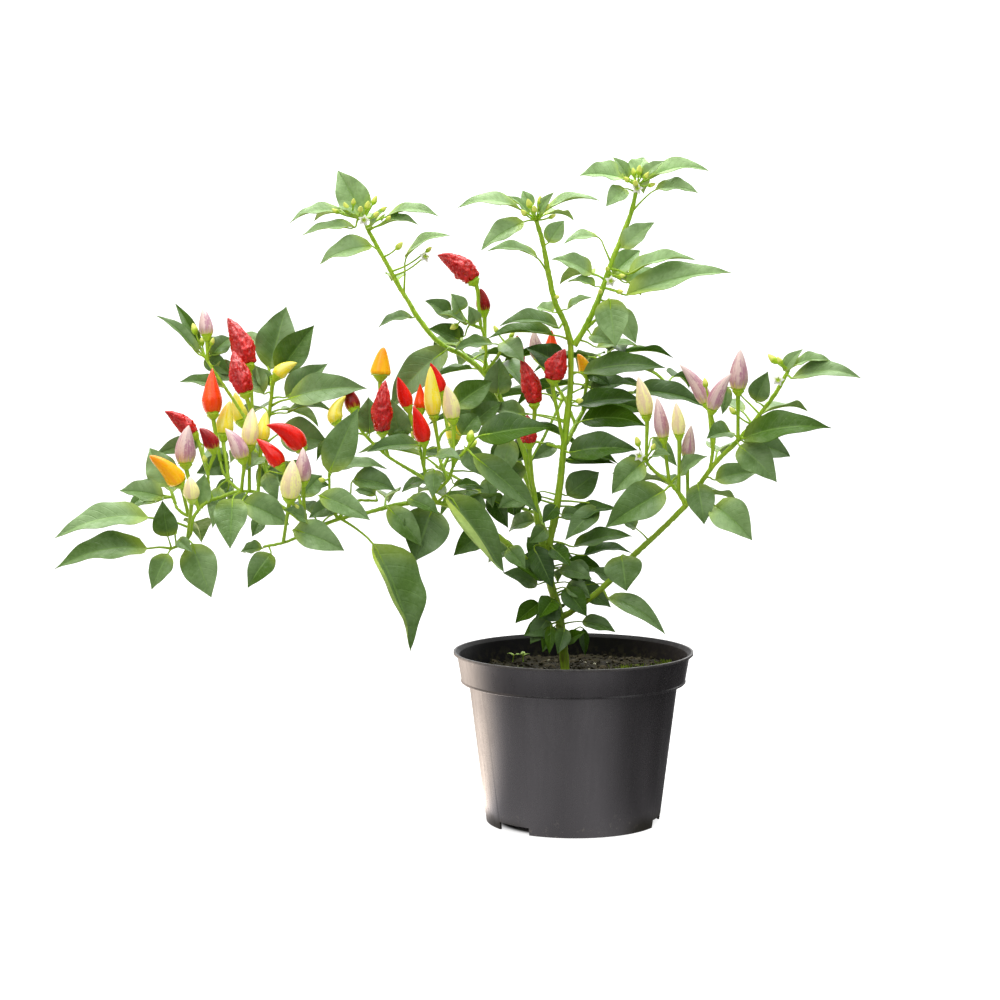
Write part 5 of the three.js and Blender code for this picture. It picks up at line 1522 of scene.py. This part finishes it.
def pot_profile(pot):
    """The pot's wall as radii and heights, from the pad under its floor round to its inside."""
    lean = (pot.top_radius - pot.base_radius) / pot.band_height
    floor_top = pot.floor_height + pot.wall
    lip_under = pot.height - pot.wall
    return [
        (PAD_RADIUS, 0),
        (PAD_RADIUS, pot.floor_height),
        (pot.base_radius + lean * pot.floor_height - pot.wall, pot.floor_height),
        (pot.base_radius - pot.wall, 0),
        (pot.base_radius, 0),
        (pot.top_radius, pot.band_height),
        (pot.band_radius, pot.band_height),
        (pot.band_radius + BEAD, pot.band_height + 0.4 * MM),
        (pot.band_radius + BEAD, pot.band_height + 0.9 * MM),
        (pot.band_radius + 0.5 * BEAD, pot.band_height + 1.6 * MM),
        (pot.band_top_radius, lip_under),
        (pot.lip_radius, lip_under),
        (pot.lip_radius, pot.height),
        (pot.lip_radius - 1.2 * MM, pot.height),
        (pot.band_top_radius - pot.wall, pot.height - 2 * MM),
        (pot.band_radius - pot.wall, pot.band_height + pot.wall),
        (pot.top_radius - pot.wall, pot.band_height),
        (pot.base_radius + lean * floor_top - pot.wall, floor_top),
    ]


def pot_cutters(pot):
    """The three gaps in the foot ring and the four drain holes, as one cutter."""
    cutters = []
    for degrees in FOOT_GAPS:
        start_fresh()
        turn = math.radians(degrees)
        bpy.ops.mesh.primitive_cube_add(
            size=1, scale=FOOT_GAP, rotation=(0, 0, turn),
            location=(*around(pot.base_radius, turn), 0))
        cutters.append(named("gap"))
    for i in range(DRAINS):
        start_fresh()
        bpy.ops.mesh.primitive_cylinder_add(
            vertices=32, radius=DRAIN_RADIUS, depth=8 * MM,
            location=(*around(DRAINS_OUT, math.tau * i / DRAINS), pot.floor_height))
        cutters.append(named("drain"))
    pick(*cutters)
    bpy.ops.object.transform_apply(location=True, rotation=True, scale=True)
    return joined("cutters", cutters)


class PEPPER_OT_pot(bpy.types.Operator):
    """Turns the thin plastic nursery pot, cuts its feet and drain holes and rounds its edges."""

    bl_idname = "pepper.pot"
    bl_label = "Pot"

    def execute(self, context):
        settings = context.scene.pepper_pot
        pot = lathed("nursery_pot", pot_profile(settings), 128)
        cutters = pot_cutters(settings)
        apply_modifier(pot, "BOOLEAN", object=cutters, operation="DIFFERENCE", solver="EXACT")
        discard(cutters)
        apply_modifier(pot, "BEVEL", width=0.45 * MM, segments=3, limit_method="ANGLE",
                       angle_limit=SHARP, use_clamp_overlap=True)
        smooth(pot, math.degrees(SHARP))
        dressed(pot, "pot", pot_plastic(settings), pot_inside(settings))
        # the inward faces above the floor take the inner finish, painted darker as shade
        for face in pot.data.polygons:
            inwards = face.normal.xy.dot(face.center.xy) < -1 * MM
            if inwards and face.center.z > settings.floor_height + settings.wall:
                face.material_index = 1
        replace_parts(pot, "pot")
        return {"FINISHED"}


def soil_height(soil, x, y):
    """The level of the potting mix at a place: heaped round the trunk, sunk on the left."""
    place = Vector((x, y, 0))
    mound = MOUND * math.exp(-place.length_squared / MOUND_SPREAD ** 2)
    slope = FALL * x - 0.6 * MM
    bumps = noise.fractal(place / HOLLOW, 0.6, 2.0, 5)
    return soil.height + mound + slope + soil.relief * bumps


def strewn(name, master, count, seed, soil, sizes, flatness, area):
    """Copies of a lump lying on the potting mix. area(dice) gives each one's x and y."""
    dice = random.Random(seed)
    copies = []
    for _ in range(count):
        x, y = area(dice)
        size = dice.uniform(*sizes) * MM
        wide, deep = dice.uniform(0.7, 1.5), dice.uniform(0.6, 1.2)
        turn = dice.uniform(0, math.tau)
        tilt = Vector((dice.uniform(-0.5, 0.5), dice.uniform(-0.5, 0.5), 1)).normalized()
        ahead = across_way(Vector((*around(1, turn), 0)), tilt)
        aside = tilt.cross(ahead)
        middle = Vector((x, y, soil_height(soil, x, y) + 0.25 * size * flatness))

        def place(point):
            spread = ahead * point.x * wide + aside * point.y * deep
            return middle + (spread + tilt * point.z * flatness) * size

        copies.append(laid(master, place))
    piece = joined(name, copies)
    smooth(piece, 50)
    return piece


def inside_pot(soil_radius):
    """A draw of places spread evenly over the potting mix."""
    def area(dice):
        radius = soil_radius * math.sqrt(dice.random())
        return around(radius, dice.uniform(0, math.tau))

    return area


# Cushions of moss: x, y and spread in millimetres.
CUSHIONS = [(30, 8, 7), (42, 10, 8), (54, 12, 7), (60, 6, 4), (56, 26, 5), (-46, 12, 5),
            (-32, 8, 4), (30, -42, 7), (-40, -34, 4), (14, -50, 6)]


def moss_patches(dice):
    """A draw of places in the cushions of moss, most of them at the front right."""
    x, y, spread = dice.choice(CUSHIONS)
    return dice.gauss(x, spread * 0.5) * MM, dice.gauss(y, spread * 0.45) * MM


class PEPPER_OT_soil(bpy.types.Operator):
    """Fills the pot with potting mix and strews it with crumbs, bark, perlite and moss."""

    bl_idname = "pepper.soil"
    bl_label = "Potting mix"

    def execute(self, context):
        soil = context.scene.pepper_soil
        pot = context.scene.pepper_pot
        rim = pot.band_radius - pot.wall - MIX_GAP
        rings = 44
        profile = [
            (pot.base_radius - pot.wall, pot.floor_height + pot.wall + MIX_GAP),
            (pot.top_radius - pot.wall - MIX_GAP, pot.band_height),
            (rim, pot.band_height + 2 * pot.wall),
            (rim + 1.2 * MM, soil.height),
        ]
        profile += [(rim * (1 - i / rings), soil.height) for i in range(1, rings)]
        body = lathed("potting_mix", profile, 120)
        for vertex in body.data.vertices:
            x, y, z = vertex.co
            if z > soil.height - MIX_GAP:
                vertex.co.z = soil_height(soil, x, y)
        smooth(body, 60)
        mix = earth("Potting mix", soil.dark, soil.pale, 120.0, 900.0, 0.6)
        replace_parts(dressed(body, "soil", mix), "soil")

        lump = clod_master()
        start_fresh()
        bpy.ops.mesh.primitive_cone_add(vertices=4, radius1=0.42, depth=2, end_fill_type="NOTHING")
        blade = named("moss_master")
        whole = inside_pot(rim)
        for name, slot, master, count, seed, sizes, flatness, area, finish in (
            ("peat_crumbs", "soil", lump, soil.crumbs, 3, (0.4, 1.4), 0.8, whole,
             ("Peat crumbs", soil.dark, soil.pale, 90.0, 700.0, 0.4)),
            ("bark_chips", "soil", lump, soil.chips, 5, (1.2, 2.8), 0.4, whole,
             ("Bark", soil.pale, soil.bark, 150.0, 800.0, 0.4)),
            ("perlite", None, lump, soil.perlite, 7, (0.6, 1.3), 0.8, whole,
             ("Perlite", soil.bark, soil.white, 40.0, 900.0, 0.3)),
            ("moss", "leaf", blade, soil.moss, 11, (0.8, 1.6), 1.1, moss_patches,
             ("Moss", soil.moss_dark, soil.moss_pale, 200.0, 900.0, 0.2)),
        ):
            piece = strewn(name, master, count, seed, soil, sizes, flatness, area)
            dressed(piece, slot, earth(*finish))
        discard(lump, blade)
        sow_sprouts(soil, context.scene.pepper_foliage)
        return {"FINISHED"}


def sow_sprouts(soil, foliage):
    """Seedlings in the mix: each a thin stalk with two seed leaves."""
    dice = random.Random(23)
    master = leaf_master()
    leaves, stalks = [], []
    for _ in range(soil.sprouts):
        turn = math.radians(dice.uniform(114, 131))
        x, y = around(dice.uniform(44, 56) * MM, turn)
        foot = Vector((x, y, soil_height(soil, x, y) - 1 * MM))
        top = foot + Vector((dice.uniform(-1, 1), dice.uniform(-1, 1), dice.uniform(4, 7))) * MM
        stalks.append([(foot, 0.35 * MM), (top, 0.3 * MM)])
        spin = dice.uniform(0, math.tau)
        for side in (0, math.pi):
            out = Vector((*around(1, spin + side), 0.35))
            leaves.append(laid(master, blade_place(SimpleNamespace(
                base=top, tip=top + out * (4.2 * MM), width=2.4 * MM, facing=UP, bow=0.08,
                rolled=None), 0, dice)))
    piece = joined("sprouts", leaves)
    for key in ("age_and_light", "lush_and_shade"):
        note(piece, key, [0] * len(piece.data.vertices))
    dressed(piece, "leaf", leaf_face(foliage, False))
    apply_modifier(piece, "SOLIDIFY", thickness=THIN, offset=0)
    smooth(piece, 60)
    dressed(tubes("sprout_stalks", stalks, 1, 2), "stem", stem_skin(foliage))
    discard(master)


def stem_lines(name):
    """The limb's stems as rods: they thin out towards their tips and swell at each node."""
    limb = LIMBS[name]
    lines = []
    for start, end, *stations in limb["stems"]:
        line = []
        for i, station in enumerate(stations):
            radius = (start + (end - start) * i / (len(stations) - 1)) * MM
            swelling = 1 + 0.07 * math.sin(2.4 * i + start)
            line.append((spot(limb, *station), radius * swelling))
        lines.append(line)
    return lines


def shoot_line(shoot):
    """The thin stalk of a bud or flower, bowed a little."""
    root, top = shoot.root, shoot.middle
    middle = root.lerp(top, 0.45) - UP * (0.06 * (top - root).length)
    return [(root, 1.35 * SHOOT_RADIUS), (middle, SHOOT_RADIUS), (top, 1.1 * SHOOT_RADIUS)]


def pod_stalk(pod):
    """A pod's stalk, which thickens towards the calyx."""
    foot = pod.base - pod.way * CALYX_HEIGHT
    return [
        (pod.root, 1.1 * STALK_RADIUS),
        (pod.root.lerp(foot, 0.5), STALK_RADIUS),
        (foot, 1.3 * STALK_RADIUS),
        (pod.base - pod.way * 0.3 * MM, CALYX_SHARE * pod.width),
    ]


class PEPPER_OT_stems(bpy.types.Operator):
    """Grows each limb's stems, with the stalks of its pods, buds and flowers."""

    bl_idname = "pepper.stems"
    bl_label = "Stems"

    def execute(self, context):
        skin = stem_skin(context.scene.pepper_foliage)
        for name in LIMBS:
            thick = tubes(f"{name}_stems", stem_lines(name), 3, 14)
            roughen(thick, 0.35 * MM, 1.6 * MM)
            dressed(thick, "stem", skin)
            shoots = side_shoots(name, "buds") + side_shoots(name, "flowers")
            lines = [pod_stalk(pod) for pod in pods_of(name)] + [shoot_line(s) for s in shoots]
            dressed(tubes(f"{name}_stalks", lines, 2, 4), "stem", skin)
        return {"FINISHED"}


def rib_frame(leaf, t):
    """A point of a leaf's rib, with the ways aside and upwards there."""
    chord = leaf.tip - leaf.base
    up = across_way(leaf.facing, chord.normalized())
    crown = leaf.base.lerp(leaf.tip, 0.5) + up * (2 * leaf.bow * chord.length)
    along = heading(leaf.base, crown, leaf.tip, t)
    normal = across_way(up, along)
    droop = up * (-0.03 * chord.length * max(t - 0.7, 0) / 0.3)
    return bezier(leaf.base, crown, leaf.tip, t) + droop, along.cross(normal), normal


def rolled_up(across, start):
    """Where a margin that rolls up over the blade from start comes to lie: across and rise."""
    beyond = across - start
    if beyond <= 0:
        return across, 0
    turn = min(beyond / ROLL_RADIUS, math.pi)
    flat = max(beyond - math.pi * ROLL_RADIUS, 0)
    return start - flat + ROLL_RADIUS * math.sin(turn), ROLL_RADIUS * (1 - math.cos(turn))


def leaf_notes(leaf, name, points, dice):
    """How old a leaf is at each point of its blade, which also paints it paler or darker as light
    falls, and how lush and painted shaded it is: one half is painted darker than the other, and the
    margin it rolls is pale.
    """
    small = 1 - min((leaf.tip - leaf.base).length / (45 * MM), 1)
    # partly real age, partly painted light: paler on the shoot tips, darker low down and on the
    # inner limbs
    low = held((OLD_AND_SHADED_BELOW.get(name, 0) - leaf.base.z) / (25 * MM), 0, 1)
    age_and_light = held(AGES_AND_LIGHT[name] + 0.55 * low + dice.uniform(-0.22, 0.22) - 0.25 * small, 0, 1)
    # painted shade: leaves are darkened at random, more when older, and one half of each blade is
    # painted darker than the other
    lush_and_shade = dice.random() ** 1.2 * (0.15 + 0.85 * age_and_light)
    half_shade = dice.uniform(-0.45, 0.45) * age_and_light
    start = leaf.rolled[0] if leaf.rolled else 2
    ages_and_light = [0 if point.x > start * leaf_outline(point.y) > 0 else age_and_light for point in points]
    return ages_and_light, [max(lush_and_shade + half_shade * held(5 * point.x, -1, 1), 0) for point in points]


def blade_place(leaf, wave, dice):
    """Where the points of the flat leaf go on this one: folded up along its rib and rippled."""
    start, widening = leaf.rolled or (1, 1)
    half = 0.5 * leaf.width * widening
    fold = math.sin(BLADE_FOLD * dice.uniform(0.8, 1.4))
    phase = dice.uniform(0, math.tau)
    waves = dice.uniform(1.6, 2.9)
    twist = dice.uniform(-0.3, 0.3)
    frames = {}

    def place(point):
        across, t, puff = point
        if t not in frames:
            frames[t] = rib_frame(leaf, t)
        rib, side, normal = frames[t]
        outline = leaf_outline(t)
        across, lift = rolled_up(across, start * max(outline, 0.1))
        out = abs(across)
        lean = twist * t
        to_margin = out / max(outline, 0.05)
        ripple = math.sin(math.tau * waves * t + phase + (1.9 if across < 0 else 0))
        rise = fold * out * (1.5 - 0.5 * out) + wave * to_margin ** 2 * out ** 0.5 * ripple
        relief = puff * 0.011 * min(out * 4, 1)
        aside = side * math.cos(lean) + normal * math.sin(lean)
        above = normal * math.cos(lean) - side * math.sin(lean)
        return rib + aside * (0.96 * half * across) + above * (half * (rise + relief + lift))

    return place


def leaf_stalk(leaf):
    """A leaf's stalk, which runs on under the blade as its midrib."""
    size = held((leaf.tip - leaf.base).length / (36 * MM), 0.5, 1.2)
    bend = leaf.root.lerp(leaf.base, 0.5) + UP * (0.05 * (leaf.base - leaf.root).length)
    line = [(place, (least + 0.3 * size) * MM)
            for place, least in ((leaf.root, 0.55), (bend, 0.32), (leaf.base, 0.25))]
    for t, share_left in ((0.25, 0.8), (0.5, 0.6), (0.75, 0.38), (0.95, 0.15)):
        rib, _, normal = rib_frame(leaf, t)
        radius = share_left * 0.55 * size * MM
        line.append((rib - normal * (0.12 * MM + 0.55 * radius), radius))
    return line


class PEPPER_OT_leaves(bpy.types.Operator):
    """Unfolds every leaf: a blade with side veins, on a stalk that runs on as its midrib."""

    bl_idname = "pepper.leaves"
    bl_label = "Leaves"

    def execute(self, context):
        foliage = context.scene.pepper_foliage
        faces = leaf_face(foliage, True), leaf_face(foliage, False)
        skin = stem_skin(foliage)
        master = leaf_master()
        points = [vertex.co for vertex in master.data.vertices]
        for seed, name in enumerate(LIMBS):
            dice = random.Random(100 + seed)
            leaves = leaves_of(name)
            blades = []
            for leaf in leaves:
                blade = laid(master, blade_place(leaf, foliage.wave, dice))
                for key, values in zip(("age_and_light", "lush_and_shade"), leaf_notes(leaf, name, points, dice)):
                    note(blade, key, values)
                blades.append(blade)
            piece = joined(f"{name}_leaves", blades)
            welded(piece)
            dressed(piece, "leaf", *faces)
            apply_modifier(piece, "SOLIDIFY", thickness=foliage.blade, offset=0,
                           material_offset=1, material_offset_rim=1)
            smooth(piece, 60)
            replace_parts(piece, name)
            ribs = tubes(f"{name}_leaf_stalks", [leaf_stalk(leaf) for leaf in leaves], 1, 3)
            dressed(ribs, "stem", skin)
        discard(master)
        return {"FINISHED"}


def pod_place(pod, crumple, seed):
    """Where the points of the round bar go on this pod: tapered, bent, crumpled if it dries."""
    span = (pod.tip - pod.base).length
    bend = pod.base + pod.way * (0.5 * span)
    half = 0.5 * pod.width
    fullest, *ends = SHAPES[pod.kind]
    shape = (fullest + 0.04 * math.sin(seed), *ends)

    def place(point):
        x, y, t = point
        along = heading(pod.base, bend, pod.tip, t)
        across = across_way(BACK, along)
        flesh = 1.0
        if crumple:
            skin = Vector((x * 1.5, y * 1.5, t * span / half * 0.8 + 7 * seed))
            hollow = noise.noise(skin * 1.2)
            ridge = 1 - 2.4 * abs(noise.noise(skin * 2.5 + Vector((5, 2, 9))))
            fine = 1 - 2.6 * abs(noise.noise(skin * 5.2 + Vector((1, 8, 3))))
            flesh += crumple * (0.8 * hollow + 0.55 * (ridge - 0.6) + 0.3 * (fine - 0.6))
        else:
            flesh += 0.03 * noise.noise(Vector((x, y, 2.2 * t + 7 * seed)) * 1.3)
        reach = half * flesh * pod_radius(t, shape)
        ring = across * (x * reach) + across.cross(along) * (y * reach)
        return bezier(pod.base, bend, pod.tip, t) + ring

    return place


def calyx_place(pod):
    """Where the points of the cup go round the foot of this pod."""
    half = 0.5 * pod.width
    flare = CALYX_SHARE * pod.width
    aside = across_way(BACK, pod.way)
    other = aside.cross(pod.way)
    shape = SHAPES[pod.kind]
    span = (pod.tip - pod.base).length

    def place(point):
        x, y, step = point
        teeth = math.cos(TEETH * math.atan2(y, x))
        height, radius = (
            (-3 * MM, 1.3 * STALK_RADIUS + 0.15 * MM),
            (-1.4 * MM, 0.68 * flare),
            (-0.2 * MM, flare + 0.1 * MM),
            (0.5 * MM, half * pod_radius(0.5 * MM / span, shape) + 0.35 * MM),
            ((1.1 + 0.4 * teeth) * MM, half * pod_radius(1.1 * MM / span, shape) + 0.4 * MM),
        )[round(step)]
        return pod.base + pod.way * height + aside * (x * radius) + other * (y * radius)

    return place


class PEPPER_OT_pods(bpy.types.Operator):
    """Hangs every pod: smooth ones at each stage of ripening, and crumpled dry red ones."""

    bl_idname = "pepper.pods"
    bl_label = "Pods"

    def execute(self, context):
        settings = context.scene.pepper_pods
        skins = {}
        for kind, (*_, blush, gloss) in PODS.items():
            shades = [getattr(settings, f"{kind}_{part}") for part in POD_PARTS]
            skins[kind] = pod_skin(kind, shades, blush, gloss)
        plain = turned_master("pod_master", 28, 22, lambda t, angle: 1)
        fine = turned_master("pod_master", 64, 52, lambda t, angle: 1)
        cup = calyx_master()
        cup_skin = bud_skin(context.scene.pepper_foliage)
        for name in LIMBS:
            cups = []
            for i, pod in enumerate(pods_of(name)):
                master, crumple = plain, 0.0
                if pod.kind == "wrinkled":
                    master, crumple = fine, settings.crumple
                pick(laid(master, pod_place(pod, crumple, i + 1)))
                piece = named(pod.node.replace("fruit", "pod"))
                smooth(piece)
                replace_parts(dressed(piece, pod.kind, skins[pod.kind]), pod.node)
                cups.append(laid(cup, calyx_place(pod)))
            if cups:
                calyxes = joined(f"{name}_calyxes", cups)
                apply_modifier(calyxes, "SOLIDIFY", thickness=THIN, offset=0)
                apply_modifier(calyxes, "SUBSURF", levels=1, render_levels=1)
                smooth(calyxes)
                dressed(calyxes, "stem", cup_skin)
        discard(plain, fine, cup)
        return {"FINISHED"}


def rod_place(base, way, long, girth):
    """Where the points of an upright master go when it stands at a place and points a way."""
    aside = across_way(Vector((0.3, 1, 0.2)), way)
    other = way.cross(aside)

    def place(point):
        flat = aside * (point.x * girth) + other * (point.y * girth)
        return base + flat + way * (point.z * long)

    return place


def bud_laid(master, shoot):
    """A bud at the end of its stalk, turned upwards a little."""
    way = ((shoot.middle - shoot.root).normalized() + UP * 0.3).normalized()
    size = shoot.size[0]
    base = shoot.middle - way * (0.7 * size)
    return laid(master, rod_place(base, way, 1.55 * size, 0.9 * size))


def flower_laid(petal, sac, shoot):
    """A flower's five petals and five pollen sacs, facing outwards and to the front."""
    way = ((shoot.middle - shoot.root).normalized() + Vector((0, -1, 0.2))).normalized()
    first = across_way(Vector((0.2, 0.1, 1)), way)
    second = way.cross(first)
    petals, sacs = [], []
    for i in range(PETALS):
        turn = math.tau * i / PETALS
        out = first * math.cos(turn) + second * math.sin(turn)
        aside = out.cross(way)

        def place(point):
            spread = out * (0.05 + 0.95 * point.y) + aside * point.x
            return shoot.middle + (spread + way * point.z) * FLOWER_RADIUS

        petals.append(laid(petal, place))
        stand = shoot.middle + out * (1.1 * MM) + way * (0.2 * MM)
        lean = (way + out * 0.3).normalized()
        sacs.append(laid(sac, rod_place(stand, lean, SAC_LENGTH, SAC_GIRTH)))
    return petals, sacs


class PEPPER_OT_flowers(bpy.types.Operator):
    """Adds the buds at the shoot tips and the open white flowers with their anthers."""

    bl_idname = "pepper.flowers"
    bl_label = "Buds and flowers"

    def execute(self, context):
        foliage = context.scene.pepper_foliage
        bud_finish, petal_finish = bud_skin(foliage), petal_skin(foliage)
        anther_finish = anther_skin(foliage)
        bud = turned_master("bud_master", 14, 12, bud_radius)
        petal = petal_master()
        for name in LIMBS:
            buds = [bud_laid(bud, shoot) for shoot in side_shoots(name, "buds")]
            petals, anthers = [], []
            for shoot in side_shoots(name, "flowers"):
                for copies, more in zip((petals, anthers), flower_laid(petal, bud, shoot)):
                    copies.extend(more)
            for part, copies, slot, finish in (
                ("buds", buds, "stem", bud_finish),
                ("petals", petals, None, petal_finish),
                ("anthers", anthers, None, anther_finish),
            ):
                if not copies:
                    continue
                piece = joined(f"{name}_{part}", copies)
                if part == "petals":
                    apply_modifier(piece, "SOLIDIFY", thickness=THIN, offset=0)
                smooth(piece)
                dressed(piece, slot, finish)
        discard(bud, petal)
        return {"FINISHED"}


# ---------------------------------------------------------------- studio

CAMERA_AT = Vector((-42.8, -1500, 335.7)) * MM
CAMERA_PITCH = 5.61  # degrees below level
LENS, SENSOR = 93.42, 36  # millimetres
AIM = Vector((-60, 0, 200)) * MM  # where the lamps point


def soft_lamp(name, place, size, power, tint):
    """A softbox that points at the plant."""
    start_fresh()
    bpy.ops.object.light_add(type="AREA", location=place)
    lamp = named(name)
    lamp.data.shape = "RECTANGLE"
    lamp.data.size, lamp.data.size_y = size
    lamp.data.energy = power
    lamp.data.color = tint
    lamp.rotation_euler = (AIM - Vector(place)).to_track_quat("-Z", "Y").to_euler()


def surround(stage):
    """The room: white behind and overhead, a warm wall on the left, dark in front and right."""
    world = bpy.data.worlds.new("Studio surround")
    world.use_nodes = True
    recipe = Recipe("Studio surround", world.node_tree)
    x, y, z = recipe.value("ShaderNodeTexCoord", output="Generated").parts()
    left = (x * -1.0 + y * 0.3).spread(0.62, 0.86)
    behind = y.spread(0.3, 0.8)
    above = z.spread(0.35, 0.9)
    bands = recipe.maths("PINGPONG", x * 1.6 + 0.2, 0.5).spread(0.25, 0.5) * 0.18
    walls = recipe.maths("MAXIMUM", left * 0.6, behind) * stage.window
    light = recipe.maths("MAXIMUM", walls, above * stage.sky) + (bands + stage.shade)
    seen = recipe.value("ShaderNodeLightPath", output="Is Camera Ray")
    tint = recipe.mixed(left, stage.backdrop, stage.warm)
    background = recipe.nodes["Background"]
    recipe.feed(background.inputs["Color"], recipe.mixed(seen, tint, stage.backdrop))
    recipe.feed(background.inputs["Strength"], recipe.maths("MAXIMUM", light, seen))
    return world


class PEPPER_OT_stage(bpy.types.Operator):
    """Sets the studio: a pale floor, a white surround, soft lamps and the camera."""

    bl_idname = "pepper.stage"
    bl_label = "Studio"

    def execute(self, context):
        stage = context.scene.pepper_stage
        start_fresh()
        bpy.ops.mesh.primitive_plane_add(size=30, location=(0, 0, 0))
        floor = named("studio_floor")
        floor.data.materials.append(ground(stage))

        context.scene.world = surround(stage)

        soft_lamp("key_lamp", (-0.9, -1.3, 1.3), (1.0, 1.0), stage.key, (1, 0.985, 0.96))
        soft_lamp("fill_lamp", (1.2, -1.1, 0.7), (0.9, 1.2), stage.fill, (0.96, 0.98, 1))
        soft_lamp("top_lamp", (-0.1, 0.4, 1.5), (1.2, 0.9), stage.overhead, (1, 1, 1))

        start_fresh()
        pitch = math.radians(90 - CAMERA_PITCH)
        bpy.ops.object.camera_add(location=CAMERA_AT, rotation=(pitch, 0, 0))
        camera = named("camera")
        camera.data.sensor_width = SENSOR
        camera.data.lens = LENS
        context.scene.camera = camera
        context.scene.view_settings.view_transform = "Standard"
        return {"FINISHED"}


# ---------------------------------------------------------------- add-on


class PEPPER_PT_panel(bpy.types.Panel):
    """Lists the settings and the pieces."""

    bl_label = "Potted Pepper"
    bl_space_type = "VIEW_3D"
    bl_region_type = "UI"
    bl_category = "Pepper"

    def draw(self, context):
        for key, group in SETTINGS.items():
            box = self.layout.box()
            box.label(text=group.__doc__)
            for prop in group.__annotations__:
                box.prop(getattr(context.scene, key), prop)
        for operator in PIECES:
            self.layout.operator(operator.bl_idname)


SETTINGS = {
    "pepper_pot": PotSettings,
    "pepper_soil": SoilSettings,
    "pepper_foliage": FoliageSettings,
    "pepper_pods": PodSettings,
    "pepper_stage": StageSettings,
}
PIECES = [PEPPER_OT_pot, PEPPER_OT_soil, PEPPER_OT_stems, PEPPER_OT_leaves, PEPPER_OT_pods,
          PEPPER_OT_flowers, PEPPER_OT_stage]
CLASSES = [*SETTINGS.values(), *PIECES, PEPPER_PT_panel]


def register():
    """Makes the settings, the pieces and the panel known."""
    for cls in CLASSES:
        bpy.utils.register_class(cls)
    for key, group in SETTINGS.items():
        setattr(bpy.types.Scene, key, bpy.props.PointerProperty(type=group))


def unregister():
    """Takes them out again."""
    for key in SETTINGS:
        delattr(bpy.types.Scene, key)
    for cls in reversed(CLASSES):
        bpy.utils.unregister_class(cls)


def main():
    """Makes every piece and the studio."""
    register()
    bpy.ops.pepper.pot()
    bpy.ops.pepper.soil()
    bpy.ops.pepper.stems()
    bpy.ops.pepper.leaves()
    bpy.ops.pepper.pods()
    bpy.ops.pepper.flowers()
    bpy.ops.pepper.stage()


if __name__ == "__main__":
    main()
